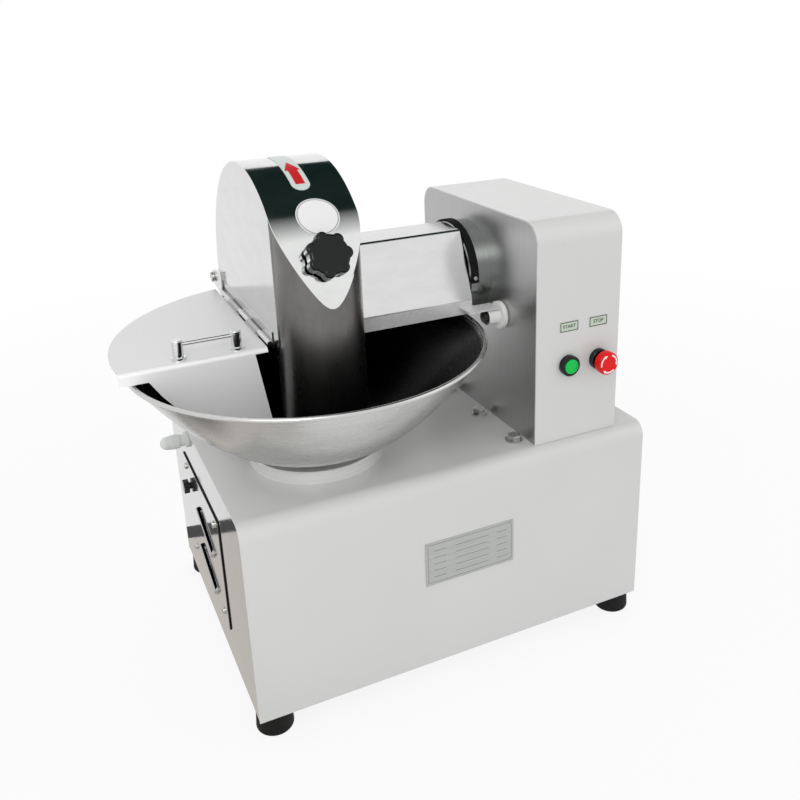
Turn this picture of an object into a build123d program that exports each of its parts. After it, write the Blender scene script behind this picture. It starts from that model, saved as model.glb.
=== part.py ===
from build123d import *
from math import atan2, cos, degrees, pi, radians, sin, sqrt
import os

os.makedirs("parts", exist_ok=True)

# Floor at z = 0, +X to the column, +Y to the back. Millimetres.
bowl_x = -95.0
bowl_y = -32.0

# feet and base cabinet
foot_height = 30.0
foot_radius = 24.5
foot_inset = 24.5
base_left = -240.0
base_front = -176.0
cabinet_height = 280.0
base_bend = 20.0
sheet = 2.0
base_top = foot_height + cabinet_height

# bowl
rim_rise = 158.0
rim_z = base_top + rim_rise
rim_radius = 228.5
bowl_clearance = 18.0
bowl_floor_z = base_top + bowl_clearance
bowl_flat = 66.0
bowl_curve = 1.15
bowl_sheet = 2.0
bead_radius = 3.0
hub_radius = 74.0
collar_bore = hub_radius + 2.0
collar_radius = collar_bore + 14.0
guard_gap = 8.0

# knife shaft and knives
shaft_y = bowl_y + 56.0
shaft_rise = 50.0
shaft_z = rim_z + shaft_rise
shaft_radius = 12.5
knife_radius = rim_radius / 2 + 47.75
knife_pitch = 16.0
knife_thickness = 3.0
running = 0.05

# hood
hood_x = bowl_x - 3.0
hood_width = 108.0
hood_radius = knife_radius + 18.0
hood_sheet = 1.5
hood_low = rim_z + 8.0
nose_y = shaft_y - hood_radius + hood_width / 2 + 4.0
knob_angle = 28.4
knob_radius = 28.0
hood_left = hood_x - hood_width / 2
hood_right = hood_x + hood_width / 2
hood_inner = hood_radius - hood_sheet

# cover hinge behind the hood
hinge_y = shaft_y + hood_radius + 22.0
hinge_z = shaft_z - 18.0
hinge_pin_radius = 5.0
base_back = hinge_y + 38.0

# column
column_left = bowl_x + rim_radius + 36.5
column_width = 130.0
column_right = column_left + column_width
column_front = base_front + 15.0
column_back = shaft_y + 143.0
column_top = shaft_z + 96.0
column_bend = 28.0
base_right = column_right + 40.0

# arm cover
arm_left = hood_right
arm_right = column_left - 35.0
arm_sheet = 1.5

# lid
lid_radius = rim_radius + 16.0
lid_top = rim_z + 19.0
lid_sheet = 2.0
lid_front = bowl_y - 44.0
lid_hinge_x = hood_left - 4.5
lid_hinge_z = lid_top + 3.7
lid_hinge_back = shaft_y + hood_radius - 32.0
knuckle_radius = 3.2

# drive
motor_y = shaft_y + 120.0
motor_z = foot_height + 91.0
motor_left = -10.0
motor_right = column_left - 10.0
worm_z = foot_height + 86.0
gear_module = 2.0
wheel_teeth = 40
worm_pitch_radius = 14.0
knife_belt_x = column_left + 42.0
worm_belt_x = column_left + 20.0
knife_pulley_radius = 45.0
motor_small_radius = 30.0
worm_pulley_radius = 60.0

# cover on the left end of the base
cover_sheet = 2.0
cover_low = (-50.0, foot_height + 54)
cover_high = (176.0, foot_height + 220)
window_low = (cover_low[0] + 20, cover_low[1] + 22)
window_high = (cover_high[0] - 26, cover_high[1] - 22)
screw_front = cover_low[0] + 24
screw_back = cover_high[0] - 20
cover_screw_spots = (
    (screw_front, cover_low[1] + 16),
    (screw_back, cover_low[1] + 12),
    (screw_front, cover_high[1] - 14),
    (screw_back, cover_high[1] - 14),
)
side_knob_spot = (143.0, foot_height + 179)
side_knob_radius = 10.5
louvres = ((48.0, foot_height + 153), (54.0, foot_height + 89))
louvre_length = 96.0
louvre_height = 16.0
louvre_rise = 4.5
louvre_sheet = 1.2
louvre_tilt = radians(17)
gland_y = 124.0
gland_z = base_top - 16.0
gland_radius = 8.0
gland_bore = 3.2

# fittings on the column and base top
start_x = column_left + 50.0
stop_x = column_left + 98.0
button_z = base_top + 108.0
button_hole = 11.0
bezel_height = 8.0
collar_height = 7.0
stop_travel = 5.0
label_width = 28.0
label_low = button_z + 47.5
label_height = 13.5
plate_sheet = 0.8
name_left = base_left + 235.0
name_low = foot_height + 124.0
name_width = 132.0
name_height = 64.0
pin_y = shaft_y - 97.0
pin_z = rim_z + 4.0
pin_radius = 11.0
pin_shank = 4.0
column_bolt_x = column_left - 16
column_bolt_spots = [(column_bolt_x, column_front + 29 + 98 * index) for index in range(4)]
bracket_bolt_spots = [(hood_x + offset, hinge_y + 1) for offset in (-28.0, 0.0, 28.0)]
housing_radius = 68.5
seal_sheet = 2.8
seal_left = column_left - 32.0
seal_right = column_left - 21.0
seal_angles = (2.0, 178.0)

wheel_pitch_radius = gear_module * wheel_teeth / 2
worm_y = bowl_y + wheel_pitch_radius + worm_pitch_radius
floor_sheet = 3.0
floor_top = foot_height + floor_sheet


def level(z):
    return Plane.XY.offset(z)


def side(x):
    return Plane.YZ.offset(x)


def facing(y):
    return Plane.XZ.offset(-y)


def around_z(x, y):
    return Plane(origin=(x, y, 0), x_dir=(1, 0, 0), z_dir=(0, -1, 0))


def around_x(y, z):
    return Plane(origin=(0, y, z), x_dir=(1, 0, 0), z_dir=(0, -1, 0))


bowl_plane = around_z(bowl_x, bowl_y)
bowl_axis = Axis((bowl_x, bowl_y, 0), (0, 0, 1))
shaft_plane = around_x(shaft_y, shaft_z)
shaft_axis = Axis((0, shaft_y, shaft_z), (1, 0, 0))
motor_plane = around_x(motor_y, motor_z)
motor_axis = Axis((0, motor_y, motor_z), (1, 0, 0))
worm_plane = around_x(worm_y, worm_z)
worm_axis = Axis((0, worm_y, worm_z), (1, 0, 0))


def outline(plane, points):
    with BuildSketch(plane) as shape:
        with BuildLine():
            Polyline(*points, close=True)
        make_face()
    return shape.sketch


def disc(plane, spot, radius):
    with BuildSketch(plane) as shape:
        with Locations(spot):
            Circle(radius)
    return shape.sketch


def block(plane, low, high):
    with BuildSketch(plane) as shape:
        with Locations(((low[0] + high[0]) / 2, (low[1] + high[1]) / 2)):
            Rectangle(high[0] - low[0], high[1] - low[1])
    return shape.sketch


def arch_sheet(plane, low, high, bend, thickness):
    """Sheet folded over two rounded top corners, open below."""
    inner = max(bend - thickness, 0.5)
    with BuildSketch(plane) as shape:
        with BuildLine():
            outer_line = FilletPolyline(low, (low[0], high[1]), high, (high[0], low[1]), radius=bend)
            inner_line = FilletPolyline(
                (low[0] + thickness, low[1]),
                (low[0] + thickness, high[1] - thickness),
                (high[0] - thickness, high[1] - thickness),
                (high[0] - thickness, low[1]),
                radius=inner,
            )
            Line(outer_line @ 0, inner_line @ 0)
            Line(outer_line @ 1, inner_line @ 1)
        make_face()
    return shape.sketch


def arch_plate(plane, low, high, bend):
    """Flat plate with two rounded top corners."""
    with BuildSketch(plane) as shape:
        with BuildLine():
            rim_line = FilletPolyline(low, (low[0], high[1]), high, (high[0], low[1]), radius=bend)
            Line(rim_line @ 1, rim_line @ 0)
        make_face()
    return shape.sketch


def belt_loop(plane, first, first_radius, second, second_radius):
    with BuildSketch(plane) as shape:
        with Locations(first):
            Circle(first_radius)
        with Locations(second):
            Circle(second_radius)
        make_hull()
    return shape.sketch


def star(plane, spot, radius, lobes):
    with BuildSketch(plane) as shape:
        with Locations(spot):
            Circle(radius * 0.86)
            with PolarLocations(radius * 0.73, lobes):
                Circle(radius * 0.27)
    return shape.sketch


def bowl_height(radius):
    rise = max(radius**2 - bowl_flat**2, 0.0) / (rim_radius**2 - bowl_flat**2)
    return bowl_floor_z + (rim_z - bead_radius - bowl_floor_z) * rise**bowl_curve


def bowl_point(radius, depth):
    """Point at a depth inside the bowl's outer surface, square to it."""
    step = 0.5
    slope = (bowl_height(radius + step) - bowl_height(radius - step)) / (2 * step)
    length = sqrt(1 + slope**2)
    return (radius - depth * slope / length, bowl_height(radius) + depth / length)


bowl_radii = [bowl_flat + (rim_radius - bowl_flat) * step / 8 for step in range(1, 9)]


# ---------------------------------------------------------------- base cabinet
with BuildPart() as base_shell:
    cabinet_profile = arch_sheet(
        side(base_left), (base_front, foot_height), (base_back, base_top), base_bend, sheet
    )
    extrude(cabinet_profile, amount=base_right - base_left)
    # spindle hole, belt window, wire window and bolt holes
    extrude(disc(level(base_top - 5), (bowl_x, bowl_y), 24), amount=10, mode=Mode.SUBTRACT)
    belt_low = (knife_belt_x - 20, shaft_y - 2)
    belt_high = (knife_belt_x + 20, motor_y + 8)
    extrude(block(level(base_top - 5), belt_low, belt_high), amount=10, mode=Mode.SUBTRACT)
    wire_low = (start_x - 20, column_front + 31)
    wire_high = (stop_x + 12, column_front + 91)
    extrude(block(level(base_top - 5), wire_low, wire_high), amount=10, mode=Mode.SUBTRACT)
    for spot in column_bolt_spots:
        extrude(disc(level(base_top - 5), spot, 5), amount=10, mode=Mode.SUBTRACT)
    for spot in bracket_bolt_spots:
        extrude(disc(level(base_top - 5), spot, 4), amount=10, mode=Mode.SUBTRACT)
base_shell.part.label = "base_shell"

foot_bolt_radius = 4.5
foot_spots = [
    (base_left + foot_inset, base_front + foot_inset),
    (base_right - foot_inset, base_front + foot_inset),
    (base_left + foot_inset, base_back - foot_inset),
    (base_right - foot_inset, base_back - foot_inset),
]

with BuildPart() as base_floor:
    floor_low = (base_left + sheet, base_front + sheet)
    floor_high = (base_right - sheet, base_back - sheet)
    extrude(block(level(foot_height), floor_low, floor_high), amount=floor_sheet)
    # slots under the motor let the warm air out
    for row in range(5):
        slot_x = motor_left + 30 * (row + 1)
        slot = block(level(foot_height), (slot_x, motor_y - 14), (slot_x + 8, motor_y + 56))
        extrude(slot, amount=floor_sheet, mode=Mode.SUBTRACT)
    for spot in foot_spots:
        extrude(disc(level(foot_height), spot, foot_bolt_radius), amount=floor_sheet, mode=Mode.SUBTRACT)
base_floor.part.label = "base_floor"


side_low = (base_front + sheet, floor_top)
side_high = (base_back - sheet, base_top - sheet)

with BuildPart() as left_side_plate:
    extrude(arch_plate(side(base_left), side_low, side_high, base_bend - sheet), amount=sheet)
    # access window behind the cover, and the cord gland's hole
    extrude(block(side(base_left), window_low, window_high), amount=sheet, mode=Mode.SUBTRACT)
    extrude(disc(side(base_left), (gland_y, gland_z), gland_radius), amount=sheet, mode=Mode.SUBTRACT)
    for spot in cover_screw_spots:
        extrude(disc(side(base_left), spot, 2.5), amount=sheet, mode=Mode.SUBTRACT)
left_side_plate.part.label = "left_side_plate"

with BuildPart() as right_side_plate:
    extrude(arch_plate(side(base_right - sheet), side_low, side_high, base_bend - sheet), amount=sheet)
right_side_plate.part.label = "right_side_plate"

# removable cover on the left end: two pressed louvres, knob hole, four screw holes
with BuildPart() as side_cover:
    extrude(block(side(base_left - cover_sheet), cover_low, cover_high), amount=cover_sheet)
    fillet(side_cover.edges().filter_by(Axis.X), 4)
    for louvre_y, louvre_z in louvres:
        lip = Plane(
            origin=(base_left - cover_sheet, louvre_y, louvre_z),
            x_dir=(0, cos(louvre_tilt), sin(louvre_tilt)),
            z_dir=(-1, 0, 0),
        )
        with BuildSketch(lip):
            SlotOverall(louvre_length, louvre_height)
        extrude(amount=louvre_rise, taper=32)
        # hollow behind the lip, open along one long side
        with BuildSketch(lip.offset(-cover_sheet)):
            with Locations((0, -louvre_height * 0.2)):
                SlotOverall(louvre_length - 8, louvre_height * 0.9)
        extrude(amount=cover_sheet + louvre_rise - louvre_sheet, mode=Mode.SUBTRACT)
    for spot in cover_screw_spots:
        extrude(disc(side(base_left - 5), spot, 2.5), amount=10, mode=Mode.SUBTRACT)
    extrude(disc(side(base_left - 5), side_knob_spot, 3.05), amount=10, mode=Mode.SUBTRACT)
side_cover.part.label = "side_cover"


def seal_spot(angle):
    """Plane on the seal's outside, facing away from the shaft."""
    across = (0, -cos(radians(angle)), sin(radians(angle)))
    reach = housing_radius + seal_sheet
    foot = ((seal_left + seal_right) / 2, shaft_y + reach * across[1], shaft_z + reach * across[2])
    return Plane(origin=foot, x_dir=(1, 0, 0), z_dir=across)


def pan_screw(spot_plane, head_radius, head_height, shank_radius, shank_length):
    with BuildPart() as screw:
        with BuildSketch(spot_plane):
            Circle(head_radius)
        extrude(amount=head_height)
        crown = screw.faces().sort_by(Axis(spot_plane.origin, spot_plane.z_dir))[-1]
        fillet(crown.edges(), head_height * 0.6)
        with BuildSketch(spot_plane.offset(head_height)):
            Rectangle(head_radius * 1.2, 1)
            Rectangle(1, head_radius * 1.2)
        extrude(amount=-1, mode=Mode.SUBTRACT)
        with BuildSketch(spot_plane):
            Circle(shank_radius)
        extrude(amount=-shank_length)
    return screw.part


# M5 pan heads: four on the side cover, two on the housing's seal
with BuildPart() as pan_screws:
    for spot in cover_screw_spots:
        add(pan_screw(Plane(origin=(base_left - cover_sheet, *spot), z_dir=(-1, 0, 0)), 5, 3, 2.5, 3.5))
    for angle in seal_angles:
        add(pan_screw(seal_spot(angle), 3, 1.6, 1.5, 8))
pan_screws.part.label = "pan_screws"

with BuildPart() as side_knob:
    extrude(star(side(base_left - 12), side_knob_spot, side_knob_radius, 6), amount=8)
    extrude(disc(side(base_left - 4), side_knob_spot, 5), amount=4 - cover_sheet - 0.1)
    extrude(disc(side(base_left - 5), side_knob_spot, 3), amount=16)
    # latch tongue behind the end plate
    latch_low = (side_knob_spot[0] - 4, side_knob_spot[1] - 4)
    latch_high = (side_knob_spot[0] + 18, side_knob_spot[1] + 4)
    extrude(block(side(base_left + sheet + 0.5), latch_low, latch_high), amount=2)
    fillet(side_knob.faces().sort_by(Axis.X)[0].edges(), 1.2)
side_knob.part.label = "side_knob"

# nylon gland where the mains cord goes in
with BuildPart() as cable_gland:
    gland_plane = around_x(gland_y, gland_z)
    gland_end = base_left - 38
    thread_radius = gland_radius - 0.1
    with BuildSketch(gland_plane):
        with BuildLine():
            Polyline(
                (base_left + 12, gland_bore),
                (base_left + 12, thread_radius),
                (base_left, thread_radius),
                (base_left, gland_radius + 3.5),
                (base_left - 4, gland_radius + 3.5),
                (base_left - 4, gland_radius + 0.5),
                (base_left - 12, gland_radius + 0.5),
                (base_left - 12, gland_radius + 2.5),
                (base_left - 22, gland_radius + 2.5),
                (gland_end + 10, gland_radius + 1.5),
            )
            ThreePointArc(
                (gland_end + 10, gland_radius + 1.5),
                (gland_end + 3, gland_radius - 0.7),
                (gland_end, gland_bore),
            )
            Line((gland_end, gland_bore), (base_left + 12, gland_bore))
        make_face()
    revolve(axis=Axis((0, gland_y, gland_z), (1, 0, 0)))
    # lock nut inside the plate
    with BuildSketch(Plane.YZ.offset(base_left + sheet)):
        with Locations((gland_y, gland_z)):
            RegularPolygon(12, 6)
            Circle(thread_radius, mode=Mode.SUBTRACT)
    extrude(amount=5)
cable_gland.part.label = "cable_gland"

foot_seat = 12.0
with BuildPart() as feet:
    for spot in foot_spots:
        with BuildSketch(around_z(*spot)):
            with BuildLine():
                Polyline((0, 8), (9, 8), (9, 0), (foot_radius - 4, 0))
                ThreePointArc((foot_radius - 4, 0), (foot_radius - 1.2, 1.6), (foot_radius, 5))
                Polyline(
                    (foot_radius, 5),
                    (foot_radius - 1.5, foot_height),
                    (foot_bolt_radius, foot_height),
                    (foot_bolt_radius, foot_seat),
                    (0, foot_seat),
                    (0, 8),
                )
            make_face()
        revolve(axis=Axis((*spot, 0), (0, 0, 1)))
feet.part.label = "feet"

with BuildPart() as foot_bolts:
    for spot in foot_spots:
        extrude(disc(level(foot_seat), spot, foot_bolt_radius), amount=floor_top + 7 - foot_seat)
        with BuildSketch(level(floor_top)):
            with Locations(spot):
                RegularPolygon(8, 6)
        extrude(amount=6)
foot_bolts.part.label = "foot_bolts"

# ---------------------------------------------------------------- column
with BuildPart() as column_shell:
    column_low = (column_front, base_top)
    column_high = (column_back, column_top)
    extrude(
        arch_sheet(side(column_left), column_low, column_high, column_bend, sheet),
        amount=column_right - column_left,
    )
    for button_x in (start_x, stop_x):
        button_cut = disc(facing(column_front + 5), (button_x, button_z), button_hole + 0.2)
        extrude(button_cut, amount=10, mode=Mode.SUBTRACT)
column_shell.part.label = "column_shell"

plate_low = (column_front + sheet, base_top)
plate_high = (column_back - sheet, column_top - sheet)

with BuildPart() as column_left_plate:
    extrude(arch_plate(side(column_left), plate_low, plate_high, column_bend - sheet), amount=sheet)
    extrude(disc(side(column_left), (shaft_y, shaft_z), 40), amount=sheet, mode=Mode.SUBTRACT)
    extrude(disc(side(column_left), (pin_y, pin_z), pin_shank), amount=sheet, mode=Mode.SUBTRACT)
column_left_plate.part.label = "column_left_plate"

with BuildPart() as column_right_plate:
    extrude(
        arch_plate(side(column_right - sheet), plate_low, plate_high, column_bend - sheet), amount=sheet
    )
column_right_plate.part.label = "column_right_plate"


def hex_bolt(spot, z, size, shank):
    with BuildPart() as bolt:
        with BuildSketch(level(z)):
            with Locations(spot):
                Circle(size * 1.2)
        extrude(amount=2)
        with BuildSketch(level(z + 2)):
            with Locations(spot):
                RegularPolygon(size * 0.98, 6)
        extrude(amount=size * 0.65)
        chamfer(bolt.faces().sort_by(Axis.Z)[-1].edges(), 0.8)
        with BuildSketch(level(z)):
            with Locations(spot):
                Circle(size / 2)
        extrude(amount=-shank)
    return bolt.part


# bolts down through the base top: column frame, then hinge bracket
with BuildPart() as frame_bolts:
    for spot in column_bolt_spots:
        add(hex_bolt(spot, base_top, 10, 12))
    for spot in bracket_bolt_spots:
        add(hex_bolt(spot, base_top + 3, 8, 14))
frame_bolts.part.label = "frame_bolts"

with BuildPart() as rest_pin:
    pin_profile = [
        (column_left + 8, 0),
        (column_left + 8, pin_shank),
        (column_left, pin_shank),
        (column_left, 17),
        (column_left - 2, 19),
        (column_left - 8, 19),
        (column_left - 8, pin_radius),
        (column_left - 26, pin_radius),
        (column_left - 26, pin_radius - 3.5),
        (column_left - 30, pin_radius - 3.5),
        (column_left - 30, 0),
    ]
    revolve(outline(around_x(pin_y, pin_z), pin_profile), axis=Axis((0, pin_y, pin_z), (1, 0, 0)))
rest_pin.part.label = "rest_pin"

# ---------------------------------------------------------------- buttons and plates
with BuildPart() as start_bezel:
    bezel_face = column_front - bezel_height
    extrude(disc(facing(column_front), (start_x, button_z), button_hole + 3.2), amount=bezel_height)
    fillet(start_bezel.faces().sort_by(Axis.Y)[0].edges(), 1.5)
    extrude(disc(facing(column_front), (start_x, button_z), button_hole), amount=-34)
    extrude(disc(facing(bezel_face), (start_x, button_z), 10.08), amount=-34, mode=Mode.SUBTRACT)
start_bezel.part.label = "start_bezel"

with BuildPart() as start_button:
    start_face = bezel_face - 2
    extrude(disc(facing(start_face + 22), (start_x, button_z), 10), amount=22)
    fillet(start_button.faces().sort_by(Axis.Y)[0].edges(), 1.2)
    extrude(disc(facing(start_face), (start_x, button_z), 7.6), amount=-0.8, mode=Mode.SUBTRACT)
start_button.part.label = "start_button"

with BuildPart() as stop_collar:
    collar_face = column_front - collar_height
    extrude(disc(facing(column_front), (stop_x, button_z), button_hole + 3.5), amount=collar_height)
    chamfer(stop_collar.faces().sort_by(Axis.Y)[0].edges(), 1.5)
    extrude(disc(facing(column_front), (stop_x, button_z), button_hole), amount=-40)
    extrude(disc(facing(collar_face), (stop_x, button_z), 6.06), amount=-40, mode=Mode.SUBTRACT)
stop_collar.part.label = "stop_collar"

head_back = collar_face - stop_travel - 0.5
stem_end = head_back - 2.5
with BuildPart() as stop_stem:
    extrude(disc(facing(stem_end), (stop_x, button_z), 6), amount=-35)
stop_stem.part.label = "stop_stem"

with BuildPart() as stop_button:
    head_face = stem_end - 10.2
    with BuildSketch(Plane(origin=(stop_x, 0, button_z), x_dir=(1, 0, 0), z_dir=(0, 0, 1))):
        with BuildLine():
            Polyline(
                (0, stem_end - 0.05),
                (6.06, stem_end - 0.05),
                (6.06, head_back),
                (14, head_back),
                (16, head_back - 2.5),
                (16, head_face + 3.2),
            )
            ThreePointArc((16, head_face + 3.2), (15.2, head_face + 0.9), (13.5, head_face))
            Polyline((13.5, head_face), (0, head_face), (0, stem_end - 0.05))
        make_face()
    revolve(axis=Axis((stop_x, 0, button_z), (0, 1, 0)))
stop_button.part.label = "stop_button"

with BuildPart() as button_plates:
    for label_x in (start_x, stop_x - 2):
        label_corner = (label_x - label_width / 2, label_low)
        label_far = (label_x + label_width / 2, label_low + label_height)
        extrude(block(facing(column_front), label_corner, label_far), amount=plate_sheet)
button_plates.part.label = "button_plates"

with BuildPart() as name_plate:
    name_far = (name_left + name_width, name_low + name_height)
    extrude(block(facing(base_front), (name_left, name_low), name_far), amount=plate_sheet)
    for corner_x in (name_left + 4, name_far[0] - 4):
        for corner_z in (name_low + 4, name_far[1] - 4):
            extrude(disc(facing(base_front - plate_sheet), (corner_x, corner_z), 1.6), amount=0.8)
name_plate.part.label = "name_plate"

# ---------------------------------------------------------------- shaft housing
bearing_radius = 26.0
bearing_width = 15.0
front_bearing_x = hood_right + 18.0
rear_bearing_x = column_left - 14.0
tube_radius = 31.0
tube_left = front_bearing_x - 2.0
housing_left = column_left - 33.0

with BuildPart() as bearing_housing:
    rear_end = rear_bearing_x + bearing_width
    housing_profile = [
        (tube_left, bearing_radius),
        (tube_left, tube_radius - 1),
        (tube_left + 1, tube_radius),
        (housing_left, tube_radius),
        (housing_left, housing_radius - 2),
        (housing_left + 2, housing_radius),
        (column_left, housing_radius),
        (column_left, 40),
        (column_left + 10, 40),
        (column_left + 10, bearing_radius - 4),
        (rear_end, bearing_radius - 4),
        (rear_end, bearing_radius),
        (rear_bearing_x, bearing_radius),
        (rear_bearing_x, bearing_radius - 4),
        (front_bearing_x + bearing_width, bearing_radius - 4),
        (front_bearing_x + bearing_width, bearing_radius),
    ]
    revolve(outline(shaft_plane, housing_profile), axis=shaft_axis)
    for angle in seal_angles:
        extrude(disc(seal_spot(angle), (0, 0), 1.5), amount=-8, mode=Mode.SUBTRACT)
bearing_housing.part.label = "bearing_housing"

with BuildPart() as housing_seal:
    with BuildSketch(side(seal_left)):
        with Locations((shaft_y, shaft_z)):
            Circle(housing_radius + seal_sheet)
            Circle(housing_radius, mode=Mode.SUBTRACT)
        with Locations((shaft_y, shaft_z - housing_radius)):
            Rectangle(3 * housing_radius, 2 * housing_radius - 9, mode=Mode.SUBTRACT)
    extrude(amount=seal_right - seal_left)
    for angle in seal_angles:
        extrude(disc(seal_spot(angle), (0, 0), 1.5), amount=-8, mode=Mode.SUBTRACT)
housing_seal.part.label = "housing_seal"


def ball_bearing(plane, axis, start, width, bore, outer):
    """Deep-groove bearing: two rings, shield groove each side, one body."""
    middle = (bore + outer) / 2
    half = (outer - bore) * 0.2
    points = [
        (start, bore),
        (start, middle - half),
        (start + 1, middle - half),
        (start + 1, middle + half),
        (start, middle + half),
        (start, outer),
        (start + width, outer),
        (start + width, middle + half),
        (start + width - 1, middle + half),
        (start + width - 1, middle - half),
        (start + width, middle - half),
        (start + width, bore),
    ]
    with BuildPart() as ring:
        revolve(outline(plane, points), axis=axis)
    return ring.part


with BuildPart() as knife_bearings:
    bore = shaft_radius + running
    add(ball_bearing(shaft_plane, shaft_axis, front_bearing_x, bearing_width, bore, bearing_radius))
    add(ball_bearing(shaft_plane, shaft_axis, rear_bearing_x, bearing_width, bore, bearing_radius))
knife_bearings.part.label = "knife_bearings"

# ---------------------------------------------------------------- knife shaft
knife_stack_left = hood_x - 1.5 * knife_pitch - 6
knife_stack_right = hood_x + 1.5 * knife_pitch + 6
shoulder_radius = 20.0

with BuildPart() as knife_shaft:
    shaft_profile = [
        (knife_stack_left - 18, 0),
        (knife_stack_left - 18, 9),
        (knife_stack_left, 9),
        (knife_stack_left, shaft_radius),
        (knife_stack_right, shaft_radius),
        (knife_stack_right, shoulder_radius),
        (knife_stack_right + 8, shoulder_radius),
        (knife_stack_right + 8, shaft_radius),
        (knife_belt_x + 18, shaft_radius),
        (knife_belt_x + 18, 0),
    ]
    revolve(outline(shaft_plane, shaft_profile), axis=shaft_axis)
knife_shaft.part.label = "knife_shaft"


def sickle(turn, x):
    """Curved blade with a ground bevel along its leading edge."""
    face = Plane(origin=(x, shaft_y, shaft_z), x_dir=(0, cos(turn), sin(turn)), z_dir=(1, 0, 0))
    tip = (knife_radius * 0.36, knife_radius * 0.932)
    back = (-knife_radius * 0.08, knife_radius * 0.593)
    edge = (knife_radius * 0.1235, knife_radius * 0.494)
    ground = (-knife_radius * 0.031, knife_radius * 0.574)
    with BuildPart() as blade:
        with BuildSketch(face):
            with BuildLine():
                ThreePointArc((-28, 6), back, tip)
                ThreePointArc(tip, edge, (28, -6))
                ThreePointArc((28, -6), (4, -28.4), (-28, 6))
            make_face()
            Circle(shaft_radius, mode=Mode.SUBTRACT)
        extrude(amount=knife_thickness)
        with BuildSketch(face.offset(knife_thickness)):
            with BuildLine():
                ThreePointArc((-28, 6), back, tip)
                ThreePointArc(tip, ground, (-28, 6))
            make_face()
        extrude(amount=-knife_thickness * 0.6, mode=Mode.SUBTRACT)
    return blade.part


with BuildPart() as knives:
    for index in range(3):
        knife_x = hood_x + (index - 1) * knife_pitch - knife_thickness / 2
        add(sickle(radians(120 * index + 20), knife_x))
knives.part.label = "knives"

with BuildPart() as knife_spacers:
    gaps = [
        (knife_stack_left, hood_x - knife_pitch - knife_thickness / 2),
        (hood_x - knife_pitch + knife_thickness / 2, hood_x - knife_thickness / 2),
        (hood_x + knife_thickness / 2, hood_x + knife_pitch - knife_thickness / 2),
        (hood_x + knife_pitch + knife_thickness / 2, knife_stack_right),
    ]
    for start, end in gaps:
        spacer = [(start, shaft_radius), (start, 22), (end, 22), (end, shaft_radius)]
        revolve(outline(shaft_plane, spacer), axis=shaft_axis)
knife_spacers.part.label = "knife_spacers"

with BuildPart() as knife_nut:
    with BuildSketch(side(knife_stack_left - 14)):
        with Locations((shaft_y, shaft_z)):
            RegularPolygon(21, 6)
            Circle(9, mode=Mode.SUBTRACT)
    extrude(amount=14)
    chamfer(knife_nut.faces().sort_by(Axis.X)[0].outer_wire().edges(), 1.2)
knife_nut.part.label = "knife_nut"

# ---------------------------------------------------------------- belts and pulleys
belt_width = 8.0
belt_outer = 3.0
belt_inner = 4.0


def grooved(x, pitch_radius):
    """Half outline of one V groove, left to right."""
    return [
        (x - 9, pitch_radius + 5),
        (x - 6.2, pitch_radius + 5),
        (x - 4.6, pitch_radius - 6),
        (x + 4.6, pitch_radius - 6),
        (x + 6.2, pitch_radius + 5),
        (x + 9, pitch_radius + 5),
    ]


with BuildPart() as shaft_pulley:
    points = [(knife_belt_x - 9, shaft_radius)]
    points += grooved(knife_belt_x, knife_pulley_radius)
    points += [(knife_belt_x + 9, shaft_radius)]
    revolve(outline(shaft_plane, points), axis=shaft_axis)
shaft_pulley.part.label = "shaft_pulley"

motor_shaft_radius = 12.0
with BuildPart() as motor_pulley:
    points = [(worm_belt_x - 9, motor_shaft_radius)]
    points += grooved(worm_belt_x, motor_small_radius)
    points += grooved(knife_belt_x, knife_pulley_radius)
    points += [(knife_belt_x + 9, motor_shaft_radius)]
    revolve(outline(motor_plane, points), axis=motor_axis)
motor_pulley.part.label = "motor_pulley"

worm_shaft_radius = 10.0
with BuildPart() as worm_pulley:
    points = [(worm_belt_x - 12, worm_shaft_radius), (worm_belt_x - 12, 18), (worm_belt_x - 9, 18)]
    points += grooved(worm_belt_x, worm_pulley_radius)
    points += [(worm_belt_x + 9, worm_shaft_radius)]
    revolve(outline(worm_plane, points), axis=worm_axis)
worm_pulley.part.label = "worm_pulley"


def belt(x, first, first_radius, second, second_radius):
    plane = side(x - belt_width / 2)
    outer_loop = belt_loop(plane, first, first_radius + belt_outer, second, second_radius + belt_outer)
    inner_loop = belt_loop(plane, first, first_radius - belt_inner, second, second_radius - belt_inner)
    with BuildPart() as loop:
        extrude(outer_loop, amount=belt_width)
        extrude(inner_loop, amount=belt_width, mode=Mode.SUBTRACT)
    return loop.part


motor_spot = (motor_y, motor_z)
with BuildPart() as knife_belt:
    add(belt(knife_belt_x, motor_spot, knife_pulley_radius, (shaft_y, shaft_z), knife_pulley_radius))
knife_belt.part.label = "knife_belt"

with BuildPart() as worm_belt:
    add(belt(worm_belt_x, motor_spot, motor_small_radius, (worm_y, worm_z), worm_pulley_radius))
worm_belt.part.label = "worm_belt"

# ---------------------------------------------------------------- motor
motor_radius = 62.0
fin_height = 6.0
stator_bore = 40.0

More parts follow.
